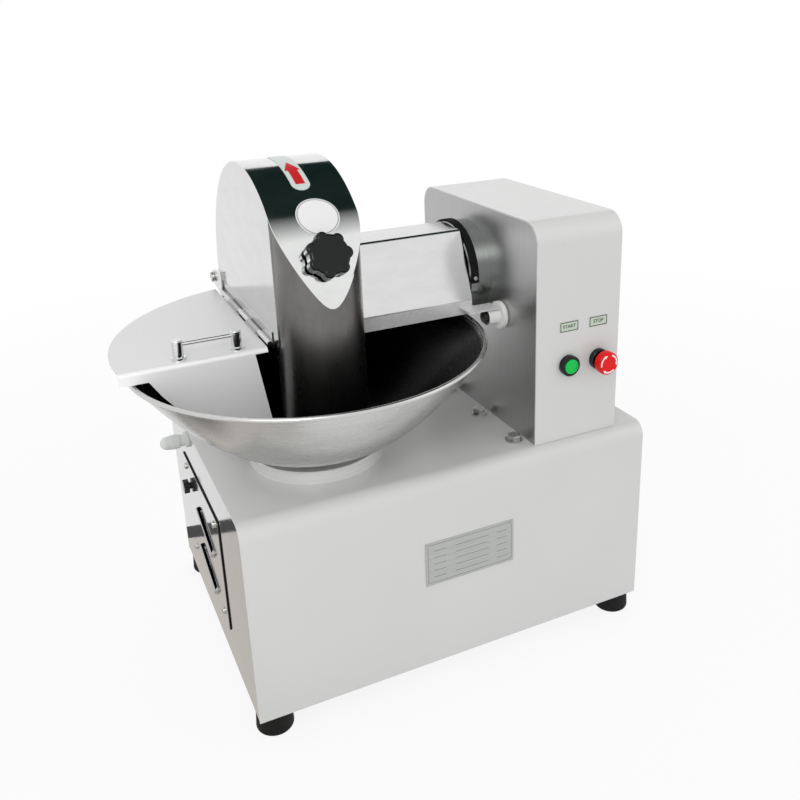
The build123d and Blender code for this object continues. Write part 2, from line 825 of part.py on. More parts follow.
with BuildPart() as motor_body:
    body_profile = [
        (motor_left - 42, 10),
        (motor_left - 42, motor_radius - 8),
        (motor_left - 34, motor_radius + 2),
        (motor_left, motor_radius + 2),
        (motor_left + 6, motor_radius),
        (motor_right, motor_radius),
        (motor_right + 8, motor_radius - 12),
        (motor_right + 8, motor_shaft_radius + running),
        (motor_right - 4, motor_shaft_radius + running),
        (motor_right - 4, stator_bore),
        (motor_left + 10, stator_bore),
        (motor_left + 10, motor_shaft_radius + running),
        (motor_left, motor_shaft_radius + running),
        (motor_left, motor_radius - 4),
        (motor_left - 38, motor_radius - 4),
        (motor_left - 38, 10),
    ]
    revolve(outline(motor_plane, body_profile), axis=motor_axis)
    for index in range(16):
        turn = radians(22.5 * index + 11.25)
        fin_plane = Plane(
            origin=(motor_left + 8, motor_y, motor_z),
            x_dir=(0, cos(turn), sin(turn)),
            z_dir=(1, 0, 0),
        )
        extrude(
            block(fin_plane, (motor_radius - 3, -1.5), (motor_radius + fin_height, 1.5)),
            amount=motor_right - motor_left - 16,
        )
    # two cast feet on the cabinet floor
    for foot_x in (motor_left + 20, motor_right - 50):
        extrude(
            block(side(foot_x), (motor_y - 48, floor_top), (motor_y + 48, motor_z - stator_bore - 12)),
            amount=30,
        )
motor_body.part.label = "motor_body"

with BuildPart() as motor_rotor:
    rotor_profile = [
        (motor_left - 34, 0),
        (motor_left - 34, 9),
        (motor_left - 30, 9),
        (motor_left - 30, 50),
        (motor_left - 24, 50),
        (motor_left - 24, 9),
        (motor_left - 6, 9),
        (motor_left - 6, motor_shaft_radius),
        (motor_left + 24, motor_shaft_radius),
        (motor_left + 24, stator_bore - 1),
        (motor_right - 20, stator_bore - 1),
        (motor_right - 20, motor_shaft_radius),
        (knife_belt_x + 14, motor_shaft_radius),
        (knife_belt_x + 14, 0),
    ]
    revolve(outline(motor_plane, rotor_profile), axis=motor_axis)
motor_rotor.part.label = "motor_rotor"

# ---------------------------------------------------------------- worm gearbox
box_half = 62.0
box_front = bowl_y - 58.0
box_back = worm_y + 36.0
box_wall = 8.0
box_top = foot_height + 126.0
worm_bearing_radius = 21.0
worm_bearing_width = 12.0
spindle_radius = 15.0
spindle_bearing_radius = 31.0
spindle_bearing_width = 16.0

with BuildPart() as gearbox_housing:
    box_left = bowl_x - box_half
    box_right = bowl_x + box_half
    box_plan = block(level(floor_top), (box_left, box_front), (box_right, box_back))
    extrude(box_plan, amount=box_top - floor_top)
    fillet(gearbox_housing.edges().filter_by(Axis.Z), 8)
    inner_low = (box_left + box_wall, box_front + box_wall)
    inner_high = (box_right - box_wall, box_back - box_wall)
    extrude(block(level(floor_top + 26), inner_low, inner_high), amount=box_top, mode=Mode.SUBTRACT)
    # bosses around the worm shaft, then the foot flange
    extrude(disc(side(box_left - 8), (worm_y, worm_z), 28), amount=8)
    extrude(disc(side(box_right), (worm_y, worm_z), 28), amount=8)
    extrude(
        block(level(floor_top), (box_left - 16, box_front + 10), (box_right + 16, box_back - 10)), amount=9
    )
    extrude(
        disc(side(box_left - 8 + 3), (worm_y, worm_z), worm_bearing_radius),
        amount=box_wall + 5,
        mode=Mode.SUBTRACT,
    )
    extrude(
        disc(side(box_right - box_wall), (worm_y, worm_z), worm_bearing_radius),
        amount=box_wall + 5,
        mode=Mode.SUBTRACT,
    )
    extrude(disc(side(box_right), (worm_y, worm_z), 12), amount=10, mode=Mode.SUBTRACT)
    extrude(
        disc(level(floor_top + 26 - spindle_bearing_width), (bowl_x, bowl_y), spindle_bearing_radius),
        amount=spindle_bearing_width,
        mode=Mode.SUBTRACT,
    )
gearbox_housing.part.label = "gearbox_housing"

with BuildPart() as gearbox_cover:
    extrude(block(level(box_top), (box_left, box_front), (box_right, box_back)), amount=8)
    fillet(gearbox_cover.edges().filter_by(Axis.Z), 8)
    extrude(disc(level(box_top + 8), (bowl_x, bowl_y), 40), amount=14)
    extrude(
        disc(level(box_top), (bowl_x, bowl_y), spindle_bearing_radius),
        amount=spindle_bearing_width,
        mode=Mode.SUBTRACT,
    )
    extrude(disc(level(box_top), (bowl_x, bowl_y), spindle_radius + 1), amount=30, mode=Mode.SUBTRACT)
gearbox_cover.part.label = "gearbox_cover"

with BuildPart() as gearbox_bearings:
    spindle_plane = Plane(origin=(bowl_x, bowl_y, 0), x_dir=(0, 0, 1), z_dir=(0, 1, 0))
    spindle_bore = spindle_radius + running
    worm_bore = worm_shaft_radius + running
    for start in (floor_top + 26 - spindle_bearing_width, box_top):
        add(
            ball_bearing(
                spindle_plane,
                bowl_axis,
                start,
                spindle_bearing_width,
                spindle_bore,
                spindle_bearing_radius,
            )
        )
    for start in (box_left - 5, box_right + 5 - worm_bearing_width):
        add(ball_bearing(worm_plane, worm_axis, start, worm_bearing_width, worm_bore, worm_bearing_radius))
gearbox_bearings.part.label = "gearbox_bearings"

worm_lead = pi * gear_module
thread_half = 24.0
tooth_top = 1.9
tooth_root = 2.6
thread_root_half = 2.4
thread_tip_half = 0.85
backlash = 0.3

with BuildPart() as worm_shaft:
    worm_core = worm_pitch_radius - tooth_root
    core_profile = [
        (box_left - 5, 0),
        (box_left - 5, worm_shaft_radius),
        (bowl_x - thread_half - 6, worm_shaft_radius),
        (bowl_x - thread_half - 6, worm_core),
        (bowl_x + thread_half + 6, worm_core),
        (bowl_x + thread_half + 6, worm_shaft_radius),
        (worm_belt_x + 14, worm_shaft_radius),
        (worm_belt_x + 14, 0),
    ]
    revolve(outline(worm_plane, core_profile), axis=worm_axis)
    # crest faces the wheel on the wheel's own centre line
    thread_turns = 6.5
    thread_start = (bowl_x - thread_turns / 2 * worm_lead, worm_y, worm_z)
    with BuildLine() as thread_path:
        Helix(
            pitch=worm_lead,
            height=thread_turns * worm_lead,
            radius=worm_core - 0.1,
            center=thread_start,
            direction=(1, 0, 0),
        )
    thread_plane = Plane(
        origin=thread_path.line @ 0, x_dir=(1, 0, 0), z_dir=thread_path.line % 0
    )
    thread_height = tooth_top + tooth_root + 0.1
    thread_points = [
        (-thread_root_half, 0),
        (-thread_tip_half, thread_height),
        (thread_tip_half, thread_height),
        (thread_root_half, 0),
    ]
    sweep(sections=outline(thread_plane, thread_points), path=thread_path.line, is_frenet=True)
worm_shaft.part.label = "worm_shaft"

wheel_half = 6.0
wheel_hub_half = 14.0
wheel_tip = wheel_pitch_radius + tooth_top
thread_slope = (thread_root_half - thread_tip_half) / (tooth_top + tooth_root)
pitch_half = thread_tip_half + tooth_top * thread_slope


def tooth_gap():
    """Cutter for one gap, leaning by the worm's lead angle."""
    lean = gear_module / (2 * worm_pitch_radius)
    tip_half = pitch_half + (tooth_top + 0.6) * thread_slope + backlash
    root_half = pitch_half - tooth_root * thread_slope + backlash
    with BuildPart() as cutter:
        for end, shift in ((-1, lean * (wheel_half + 1)), (1, -lean * (wheel_half + 1))):
            with BuildSketch(level(worm_z + end * (wheel_half + 1))):
                with BuildLine():
                    Polyline(
                        (shift - tip_half, wheel_tip + 0.6),
                        (shift - root_half, wheel_pitch_radius - tooth_root),
                        (shift + root_half, wheel_pitch_radius - tooth_root),
                        (shift + tip_half, wheel_tip + 0.6),
                        close=True,
                    )
                make_face()
        loft()
    return cutter.part


with BuildPart() as worm_wheel:
    wheel_points = [
        (spindle_radius, worm_z - wheel_hub_half),
        (spindle_radius + 9, worm_z - wheel_hub_half),
        (spindle_radius + 9, worm_z - wheel_half),
        (wheel_tip, worm_z - wheel_half),
        (wheel_tip, worm_z + wheel_half),
        (spindle_radius + 9, worm_z + wheel_half),
        (spindle_radius + 9, worm_z + wheel_hub_half),
        (spindle_radius, worm_z + wheel_hub_half),
    ]
    revolve(outline(bowl_plane, wheel_points), axis=bowl_axis)
    gap = tooth_gap()
    for index in range(wheel_teeth):
        turned = gap.rotate(Axis.Z, 360 / wheel_teeth * index)
        add(turned.moved(Location((bowl_x, bowl_y, 0))), mode=Mode.SUBTRACT)
worm_wheel.part.label = "worm_wheel"

# ---------------------------------------------------------------- bowl and its drive
hub_low = base_top + 3.0
spindle_foot = floor_top + 26 - spindle_bearing_width + 1
nut_radius = 24.0
stud_radius = 10.0

with BuildPart() as spindle:
    spindle_profile = [
        (0, spindle_foot),
        (spindle_radius, spindle_foot),
        (spindle_radius, bowl_floor_z),
        (stud_radius, bowl_floor_z),
        (stud_radius, bowl_floor_z + bowl_sheet + 12),
        (0, bowl_floor_z + bowl_sheet + 12),
    ]
    revolve(outline(bowl_plane, spindle_profile), axis=bowl_axis)
spindle.part.label = "spindle"

with BuildPart() as bowl_hub:
    hub_profile = [
        (spindle_radius, hub_low - 2),
        (spindle_radius + 10, hub_low - 2),
        (spindle_radius + 10, hub_low),
        (hub_radius - 2, hub_low),
        (hub_radius, hub_low + 2),
        (hub_radius, bowl_floor_z - 4),
        (bowl_flat, bowl_floor_z),
        (spindle_radius, bowl_floor_z),
    ]
    revolve(outline(bowl_plane, hub_profile), axis=bowl_axis)
bowl_hub.part.label = "bowl_hub"

with BuildPart() as bowl:
    with BuildSketch(bowl_plane):
        with BuildLine():
            Line((stud_radius, bowl_floor_z), (bowl_flat, bowl_floor_z))
            outer_wall = Spline(
                (bowl_flat, bowl_floor_z),
                *[bowl_point(radius, 0) for radius in bowl_radii],
            )
            inner_wall = Spline(
                (bowl_flat, bowl_floor_z + bowl_sheet),
                *[bowl_point(radius, bowl_sheet) for radius in bowl_radii],
            )
            Line(outer_wall @ 1, inner_wall @ 1)
            Line(inner_wall @ 0, (stud_radius, bowl_floor_z + bowl_sheet))
            Line((stud_radius, bowl_floor_z + bowl_sheet), (stud_radius, bowl_floor_z))
        make_face()
    revolve(axis=bowl_axis)
    # rolled bead
    bead_spot = (rim_radius, rim_z - bead_radius)
    revolve(disc(bowl_plane, bead_spot, bead_radius), axis=bowl_axis)
bowl.part.label = "bowl"

with BuildPart() as bowl_nut:
    nut_low = bowl_floor_z + bowl_sheet
    with BuildSketch(bowl_plane):
        with BuildLine():
            Polyline(
                (stud_radius, nut_low + 12),
                (stud_radius, nut_low),
                (nut_radius, nut_low),
                (nut_radius, nut_low + 6),
            )
            ThreePointArc((nut_radius, nut_low + 6), (nut_radius - 6, nut_low + 14), (8, nut_low + 18))
            Polyline((8, nut_low + 18), (0, nut_low + 18), (0, nut_low + 12), (stud_radius, nut_low + 12))
        make_face()
    revolve(axis=bowl_axis)
bowl_nut.part.label = "bowl_nut"

with BuildPart() as bowl_collar:
    collar_top = bowl_floor_z - 1.5
    collar_profile = [
        (collar_bore, base_top),
        (collar_radius, base_top),
        (collar_radius, collar_top - 1.5),
        (collar_radius - 1.5, collar_top),
        (collar_bore + 1, collar_top),
        (collar_bore, collar_top - 1),
    ]
    revolve(outline(bowl_plane, collar_profile), axis=bowl_axis)
bowl_collar.part.label = "bowl_collar"

# ---------------------------------------------------------------- cover hinge
ear_sheet = 4.0
bracket_half = hood_width / 2 - 8
bracket_back = hinge_y + 18
hinge_boss = 11.0

with BuildPart() as hinge_bracket:
    bracket_left = hood_x - bracket_half
    bracket_right = hood_x + bracket_half
    # foot, back plate, two cheeks
    foot_low = (bracket_left, hinge_y - 12)
    foot_high = (bracket_right, bracket_back + 3)
    extrude(block(level(base_top), foot_low, foot_high), amount=3)
    back_low = (bracket_left, base_top)
    back_high = (bracket_right, hinge_z + 6)
    extrude(block(facing(bracket_back + 3), back_low, back_high), amount=3)
    for cheek_x in (bracket_left, bracket_right - 3):
        with BuildSketch(side(cheek_x)):
            with BuildLine():
                Polyline(
                    (bracket_back, base_top),
                    (bracket_back - 26, base_top),
                    (bracket_back - 12, base_top + 40),
                    (bracket_back - 12, hinge_z - 40),
                    (hinge_y - hinge_boss, hinge_z - 8),
                    (hinge_y - hinge_boss, hinge_z + 4),
                    (hinge_y - 5, hinge_z + hinge_boss - 1),
                    (hinge_y + 5, hinge_z + hinge_boss - 1),
                    (bracket_back, hinge_z + 2),
                    close=True,
                )
            make_face()
        extrude(amount=3)
    extrude(
        disc(side(bracket_left - 5), (hinge_y, hinge_z), hinge_pin_radius),
        amount=2 * bracket_half + 10,
        mode=Mode.SUBTRACT,
    )
    for spot in bracket_bolt_spots:
        extrude(disc(level(base_top), spot, 4), amount=3, mode=Mode.SUBTRACT)
hinge_bracket.part.label = "hinge_bracket"

with BuildPart() as cover_hinge_pin:
    pin_half = hood_width / 2 + ear_sheet + 1
    extrude(disc(side(hood_x - pin_half), (hinge_y, hinge_z), hinge_pin_radius), amount=2 * pin_half)
    for end_x in (hood_x - pin_half - 3, hood_x + pin_half):
        extrude(disc(side(end_x), (hinge_y, hinge_z), hinge_pin_radius + 2.5), amount=3)
cover_hinge_pin.part.label = "cover_hinge_pin"


def hood_side(x, width):
    """Side wall of the hood inside the band, with its hinge ear."""
    with BuildPart() as wall:
        with BuildSketch(side(x)):
            with Locations((shaft_y, shaft_z)):
                Circle(hood_inner)
            with BuildLine():
                Polyline(
                    (shaft_y - hood_inner, hood_low),
                    (shaft_y + hood_inner, hood_low),
                    (shaft_y + hood_inner, shaft_z),
                    (shaft_y - hood_inner, shaft_z),
                    close=True,
                )
            make_face()
            with Locations((shaft_y, hood_low - hood_radius)):
                Rectangle(4 * hood_radius, 2 * hood_radius, mode=Mode.SUBTRACT)
            with Locations((nose_y - hood_radius, shaft_z)):
                Rectangle(2 * hood_radius, 4 * hood_radius, mode=Mode.SUBTRACT)
        extrude(amount=width)
    return wall.part


def hinge_ear(x):
    with BuildPart() as ear:
        with BuildSketch(side(x)):
            with Locations((hinge_y, hinge_z)):
                Circle(hinge_boss)
            with BuildLine():
                Polyline(
                    (hinge_y, hinge_z - hinge_boss),
                    (hinge_y, hinge_z + hinge_boss),
                    (shaft_y + hood_inner - 26, hinge_z + hinge_boss + 8),
                    (shaft_y + hood_inner - 26, hinge_z - hinge_boss - 8),
                    close=True,
                )
            make_face()
            with Locations((hinge_y, hinge_z)):
                Circle(hinge_pin_radius + running, mode=Mode.SUBTRACT)
        extrude(amount=ear_sheet)
    return ear.part


with BuildPart() as hood_left_wall:
    add(hood_side(hood_left, hood_sheet))
    add(hinge_ear(hood_left - ear_sheet))
hood_left_wall.part.label = "hood_left_wall"

housing_gap = 2.0
with BuildPart() as hood_right_wall:
    add(hood_side(hood_right - hood_sheet, hood_sheet))
    # slot lets the wall lift off the shaft housing
    slot_half = tube_radius + housing_gap
    slot_plane = side(hood_right - hood_sheet - 1)
    extrude(disc(slot_plane, (shaft_y, shaft_z), slot_half), amount=4, mode=Mode.SUBTRACT)
    slot_low = (shaft_y - slot_half, hood_low - 10)
    slot_high = (shaft_y + slot_half, shaft_z)
    extrude(block(slot_plane, slot_low, slot_high), amount=4, mode=Mode.SUBTRACT)
    add(hinge_ear(hood_right))
hood_right_wall.part.label = "hood_right_wall"


def nose_plan(radius):
    """Plan of the hood: straight sides closed by a half round."""
    with BuildSketch(level(hood_low - 160)) as shape:
        with Locations((hood_x, nose_y)):
            Circle(radius)
        with Locations((hood_x, nose_y + hood_radius)):
            Rectangle(2 * radius, 2 * hood_radius)
    return shape.sketch


with BuildPart() as hood_band:
    with BuildSketch(side(hood_left)):
        with Locations((shaft_y, shaft_z)):
            Circle(hood_radius)
            Circle(hood_inner, mode=Mode.SUBTRACT)
        with Locations((shaft_y, shaft_z - hood_radius)):
            Rectangle(3 * hood_radius, 2 * hood_radius, mode=Mode.SUBTRACT)
        with BuildLine():
            Polyline(
                (shaft_y + hood_inner, shaft_z),
                (shaft_y + hood_inner, hood_low),
                (shaft_y + hood_radius, hood_low),
                (shaft_y + hood_radius, shaft_z),
                close=True,
            )
        make_face()
    extrude(amount=hood_width)
    extrude(nose_plan(hood_width / 2), amount=500, mode=Mode.INTERSECT)
    knob_plane = Plane(
        origin=(hood_x, shaft_y, shaft_z),
        x_dir=(1, 0, 0),
        z_dir=(0, -cos(radians(knob_angle)), sin(radians(knob_angle))),
    )
    extrude(disc(knob_plane, (0, 0), 5.2), amount=hood_radius + 20, mode=Mode.SUBTRACT)
hood_band.part.label = "hood_band"

# half-round guard that stands in the bowl in front of the knives
guard_radius = hood_width / 2 - hood_sheet
strap_sheet = 2.0
strap_half = 15.0
guard_top_radius = hood_inner

with BuildPart() as front_guard:
    with BuildSketch(level(bowl_floor_z)):
        with Locations((hood_x, nose_y)):
            Circle(guard_radius)
        with Locations((hood_x, nose_y + 7)):
            Rectangle(2 * guard_radius, 14)
        with Locations((hood_x, nose_y)):
            Circle(guard_radius - hood_sheet, mode=Mode.SUBTRACT)
        with Locations((hood_x, nose_y + 20)):
            Rectangle(2 * (guard_radius - hood_sheet), 40, mode=Mode.SUBTRACT)
        with Locations((hood_x, nose_y + 14 + guard_radius)):
            Rectangle(3 * guard_radius, 2 * guard_radius, mode=Mode.SUBTRACT)
    extrude(amount=shaft_z + hood_radius - bowl_floor_z)
    # top follows the band, bottom follows the bowl
    with BuildSketch(side(hood_left - 10)):
        with Locations((shaft_y, shaft_z)):
            Circle(guard_top_radius)
        with Locations((shaft_y, shaft_z - 150)):
            Rectangle(2 * guard_top_radius, 300)
    extrude(amount=hood_width + 20, mode=Mode.INTERSECT)
    with BuildSketch(bowl_plane):
        with BuildLine():
            gap_curve = Spline(
                (0, bowl_floor_z + guard_gap),
                (bowl_flat * 0.6, bowl_floor_z + guard_gap),
                *[bowl_point(radius, guard_gap + bowl_sheet) for radius in bowl_radii],
            )
            Polyline(gap_curve @ 1, (rim_radius, bowl_floor_z - 20), (0, bowl_floor_z - 20), gap_curve @ 0)
        make_face()
    revolve(axis=bowl_axis, mode=Mode.SUBTRACT)
    # strap under the band carries the knob's nut
    with BuildSketch(side(hood_x - strap_half)):
        with Locations((shaft_y, shaft_z)):
            Circle(guard_top_radius)
            Circle(guard_top_radius - strap_sheet, mode=Mode.SUBTRACT)
        with BuildLine():
            strap_low = radians(12.6)
            strap_high = radians(knob_angle + 9)
            far = 2 * hood_radius
            Polyline(
                (shaft_y, shaft_z),
                (shaft_y - far * cos(strap_low), shaft_z + far * sin(strap_low)),
                (shaft_y - far * cos(strap_high), shaft_z + far * sin(strap_high)),
                close=True,
            )
        make_face(mode=Mode.INTERSECT)
    extrude(amount=2 * strap_half)
    with BuildSketch(knob_plane.offset(guard_top_radius - strap_sheet - 7.5)):
        RegularPolygon(9, 6)
    extrude(amount=8)
    extrude(disc(knob_plane, (0, 0), 5 + running), amount=hood_radius + 20, mode=Mode.SUBTRACT)
front_guard.part.label = "front_guard"

with BuildPart() as hood_knob:
    knob_seat = hood_radius + 0.3
    extrude(disc(knob_plane.offset(guard_top_radius - 14), (0, 0), 5), amount=24)
    extrude(disc(knob_plane.offset(knob_seat), (0, 0), 12), amount=6)
    extrude(star(knob_plane.offset(knob_seat + 5), (0, 0), knob_radius, 7), amount=16)
    fillet(hood_knob.faces().sort_by(Axis(knob_plane.origin, knob_plane.z_dir))[-1].edges(), 4)
hood_knob.part.label = "hood_knob"


def band_patch(shape, reach):
    """Thin plate cut from the skin of the band."""
    with BuildPart() as patch:
        extrude(shape, amount=reach)
        with BuildSketch(side(hood_left)):
            with Locations((shaft_y, shaft_z)):
                Circle(hood_radius + 0.5)
                Circle(hood_radius + 0.1, mode=Mode.SUBTRACT)
        extrude(amount=hood_width, mode=Mode.INTERSECT)
    return patch.part


def band_plane(angle):
    turn = radians(angle)
    spoke = (0, -cos(turn), sin(turn))
    return Plane(origin=(hood_x, shaft_y, shaft_z), x_dir=(1, 0, 0), z_dir=spoke).offset(hood_radius / 2)


# blank plates on the band: a round one and a strip over the top
with BuildPart() as hood_plates:
    add(band_patch(disc(band_plane(45.5), (4.5, 0), 26), hood_radius))
    with BuildSketch(band_plane(78)) as strip_shape:
        SlotOverall(118, 23, rotation=90)
    add(band_patch(strip_shape.sketch, hood_radius))
hood_plates.part.label = "hood_plates"

# ---------------------------------------------------------------- arm cover
arm_top = shaft_z + 66.0
arm_top_front = shaft_y - 42.0
arm_top_back = shaft_y + 20.0
arm_fold_front = shaft_y - 76.0
arm_fold_back = shaft_y + 66.0
arm_fold_z = shaft_z - 23.5
arm_low = rim_z + 5.5
tab_sheet = 2.0
tab_front = pin_y - 9
tab_right = column_left - 9


def sheet_path(points, thickness):
    """Closed outline of a sheet folded along the points, thickness to the right of travel."""
    inner = []
    for index, (u, w) in enumerate(points):
        before = points[max(index - 1, 0)]
        after = points[min(index + 1, len(points) - 1)]
        first = (u - before[0], w - before[1]) if index > 0 else (after[0] - u, after[1] - w)
        last = (after[0] - u, after[1] - w) if index < len(points) - 1 else first
        first_length = sqrt(first[0] ** 2 + first[1] ** 2)
        last_length = sqrt(last[0] ** 2 + last[1] ** 2)
        first_normal = (first[1] / first_length, -first[0] / first_length)
        last_normal = (last[1] / last_length, -last[0] / last_length)
        sum_u = first_normal[0] + last_normal[0]
        sum_w = first_normal[1] + last_normal[1]
        share = 2 * thickness / (sum_u**2 + sum_w**2)
        inner.append((u + sum_u * share, w + sum_w * share))
    return inner


arm_points = [
    (arm_fold_front, arm_low),
    (arm_fold_front, arm_fold_z),
    (arm_top_front, arm_top),
    (arm_top_back, arm_top),
    (arm_fold_back, arm_fold_z),
    (arm_fold_back, arm_low),
]

with BuildPart() as arm_cover:
    with BuildSketch(side(arm_left)):
        with BuildLine():
            arm_outer = FilletPolyline(*arm_points, radius=6)
            arm_inner = FilletPolyline(*sheet_path(arm_points, arm_sheet), radius=6 - arm_sheet)
            Line(arm_outer @ 0, arm_inner @ 0)
            Line(arm_outer @ 1, arm_inner @ 1)
        make_face()
    extrude(amount=arm_right - arm_left)
    # tongue that lands on the rest pin
    tab_z = pin_z + pin_radius + 0.2
    lip_inside = arm_fold_front + arm_sheet
    extrude(block(level(tab_z), (arm_right - 20, tab_front), (arm_right, lip_inside)), amount=tab_sheet)
    extrude(block(level(tab_z), (arm_right - 20, tab_front), (tab_right, tab_front + 26)), amount=tab_sheet)
arm_cover.part.label = "arm_cover"

# ---------------------------------------------------------------- lid
leaf_sheet = 1.2
knuckle_bore = 1.55
knuckle_gap = 0.3
lid_hinge_front = lid_front + 2
hinge_span = lid_hinge_back - lid_hinge_front
knuckle_length = hinge_span / 5
lid_hinge_start = (lid_hinge_x, lid_hinge_front, lid_hinge_z)
lid_hinge_plane = Plane(origin=lid_hinge_start, x_dir=(1, 0, 0), z_dir=(0, 1, 0))

with BuildPart() as lid_hinge_leaf:
    leaf_low = (lid_hinge_front, lid_hinge_z - 6)
    leaf_high = (lid_hinge_back, lid_hinge_z + 14)
    extrude(block(side(hood_left - leaf_sheet), leaf_low, leaf_high), amount=leaf_sheet)
    for index in (0, 2, 4):
        start = index * knuckle_length + (knuckle_gap if index else 0)
        length = knuckle_length - knuckle_gap * (2 if index == 2 else 1)
        extrude(disc(lid_hinge_plane.offset(start), (0, 0), knuckle_radius), amount=length)
        web_plane = lid_hinge_plane.offset(start)
        with BuildSketch(web_plane):
            with Locations(((hood_left - lid_hinge_x) / 2, 0)):
                Rectangle(hood_left - lid_hinge_x, leaf_sheet * 2)
        extrude(amount=length)
    extrude(disc(lid_hinge_plane, (0, 0), knuckle_bore - running), amount=hinge_span)
lid_hinge_leaf.part.label = "lid_hinge_leaf"

lid_right = lid_hinge_x - knuckle_radius - 0.3
lid_lip_low = rim_z + 3.0
flap_left = bowl_x - rim_radius + 20.5
flap_right = hood_left - 24.0
flap_foot_right = hood_left - 5.0
flap_foot_z = bowl_floor_z + 28.0
flap_clearance = 13.0
lid_bend = 6.0

with BuildPart() as lid:
    # front edge folded down
    with BuildSketch(side(bowl_x - lid_radius)):
        with BuildLine():
            fold_points = [(lid_front, flap_foot_z - 20), (lid_front, lid_top), (lid_front + 20, lid_top)]
            fold_outer = FilletPolyline(*fold_points, radius=lid_bend)
            fold_inner = FilletPolyline(
                *sheet_path(fold_points, lid_sheet), radius=lid_bend - lid_sheet
            )
            Line(fold_outer @ 0, fold_inner @ 0)
            Line(fold_outer @ 1, fold_inner @ 1)
        make_face()
    extrude(amount=lid_right - bowl_x + lid_radius)
    # lip on the left, flap into the bowl on the right
    flap_offset = abs(lid_front - bowl_y)
    flap_points = []
    for share in (0.525, 0.61, 0.7, 0.79, 0.875, 0.932):
        spot = bowl_point(rim_radius * share, flap_clearance + bowl_sheet)
        flap_points.append((bowl_x - sqrt(spot[0] ** 2 - flap_offset**2), spot[1]))
    flap_points = [point for point in flap_points if point[1] > flap_foot_z + 1]
    first_x = flap_points[0][0]
    outline_points = [
        (lid_right, lid_top + 5),
        (lid_right, lid_top - lid_bend),
        (flap_right, lid_top - lid_bend),
        (flap_foot_right, flap_foot_z),
        (first_x + 12, flap_foot_z),
        *flap_points,
        (flap_left, lid_lip_low),
        (bowl_x - lid_radius - 5, lid_lip_low),
        (bowl_x - lid_radius - 5, lid_top + 5),
    ]
    extrude(outline(facing(lid_front - 10), outline_points), amount=-60, mode=Mode.INTERSECT)
    # half disc over the bowl
    with BuildSketch(level(lid_top - lid_sheet)):
        with Locations((bowl_x, bowl_y)):
            Circle(lid_radius)
        with Locations((lid_right + lid_radius, bowl_y)):
            Rectangle(2 * lid_radius, 3 * lid_radius, mode=Mode.SUBTRACT)
        with Locations((bowl_x, lid_front + 12 - lid_radius)):
            Rectangle(3 * lid_radius, 2 * lid_radius, mode=Mode.SUBTRACT)
    extrude(amount=lid_sheet)
    extrude(disc(level(flap_foot_z - 50), (bowl_x, bowl_y), lid_radius), amount=300, mode=Mode.INTERSECT)
    # knuckles on their webs
    for index in (1, 3):
        start = index * knuckle_length + knuckle_gap
        length = knuckle_length - 2 * knuckle_gap
        web_plane = lid_hinge_plane.offset(start)
        extrude(disc(web_plane, (0, 0), knuckle_radius), amount=length)
        web_drop = lid_hinge_z - (lid_top - lid_sheet)
        with BuildSketch(web_plane):
            with Locations((-(knuckle_radius + 3) / 2, web_drop / 2)):
                Rectangle(knuckle_radius + 3, web_drop)
        extrude(amount=length)
        extrude(disc(web_plane, (0, 0), knuckle_bore), amount=length, mode=Mode.SUBTRACT)
lid.part.label = "lid"

handle_y = lid_front + 16
handle_spots = (hood_left - 112.0, hood_left - 42.0)
post_radius = 6.5
post_height = 24.0

with BuildPart() as lid_handle:
    for post_x in handle_spots:
        extrude(disc(level(lid_top), (post_x, handle_y), post_radius + 2.5), amount=3)
        extrude(disc(level(lid_top), (post_x, handle_y), post_radius), amount=post_height)
    fillet(lid_handle.faces().group_by(Axis.Z)[-1].edges(), 1.2)
    rod_plane = side(handle_spots[0])
    extrude(disc(rod_plane, (handle_y, lid_top + 18), 2.5), amount=handle_spots[1] - handle_spots[0])
lid_handle.part.label = "lid_handle"

pieces = [
    base_shell,
    base_floor,
    left_side_plate,
    right_side_plate,
    side_cover,
    pan_screws,
    side_knob,
    cable_gland,
    feet,
    foot_bolts,
    column_shell,
    column_left_plate,
    column_right_plate,
    frame_bolts,
    rest_pin,
    start_bezel,
    start_button,
    stop_collar,
    stop_stem,
    stop_button,
    button_plates,
    name_plate,
    bearing_housing,
    housing_seal,
    knife_bearings,
    knife_shaft,
    knives,
    knife_spacers,
    knife_nut,
    shaft_pulley,
    motor_pulley,
    worm_pulley,
    knife_belt,
    worm_belt,
    motor_body,
    motor_rotor,
    gearbox_housing,
    gearbox_cover,
    gearbox_bearings,
    worm_shaft,
    worm_wheel,
    spindle,
    bowl_hub,
    bowl,
    bowl_nut,
    bowl_collar,
    hinge_bracket,
    cover_hinge_pin,
    hood_left_wall,
    hood_right_wall,
    hood_band,
    front_guard,
    hood_knob,
    hood_plates,
    arm_cover,
    lid_hinge_leaf,
    lid,
    lid_handle,
]
for piece in pieces:
    export_step(piece.part, f"parts/{piece.part.label}.step")
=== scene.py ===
import bpy
import bmesh
from math import cos, pi, radians, sin
from mathutils import Matrix, Vector


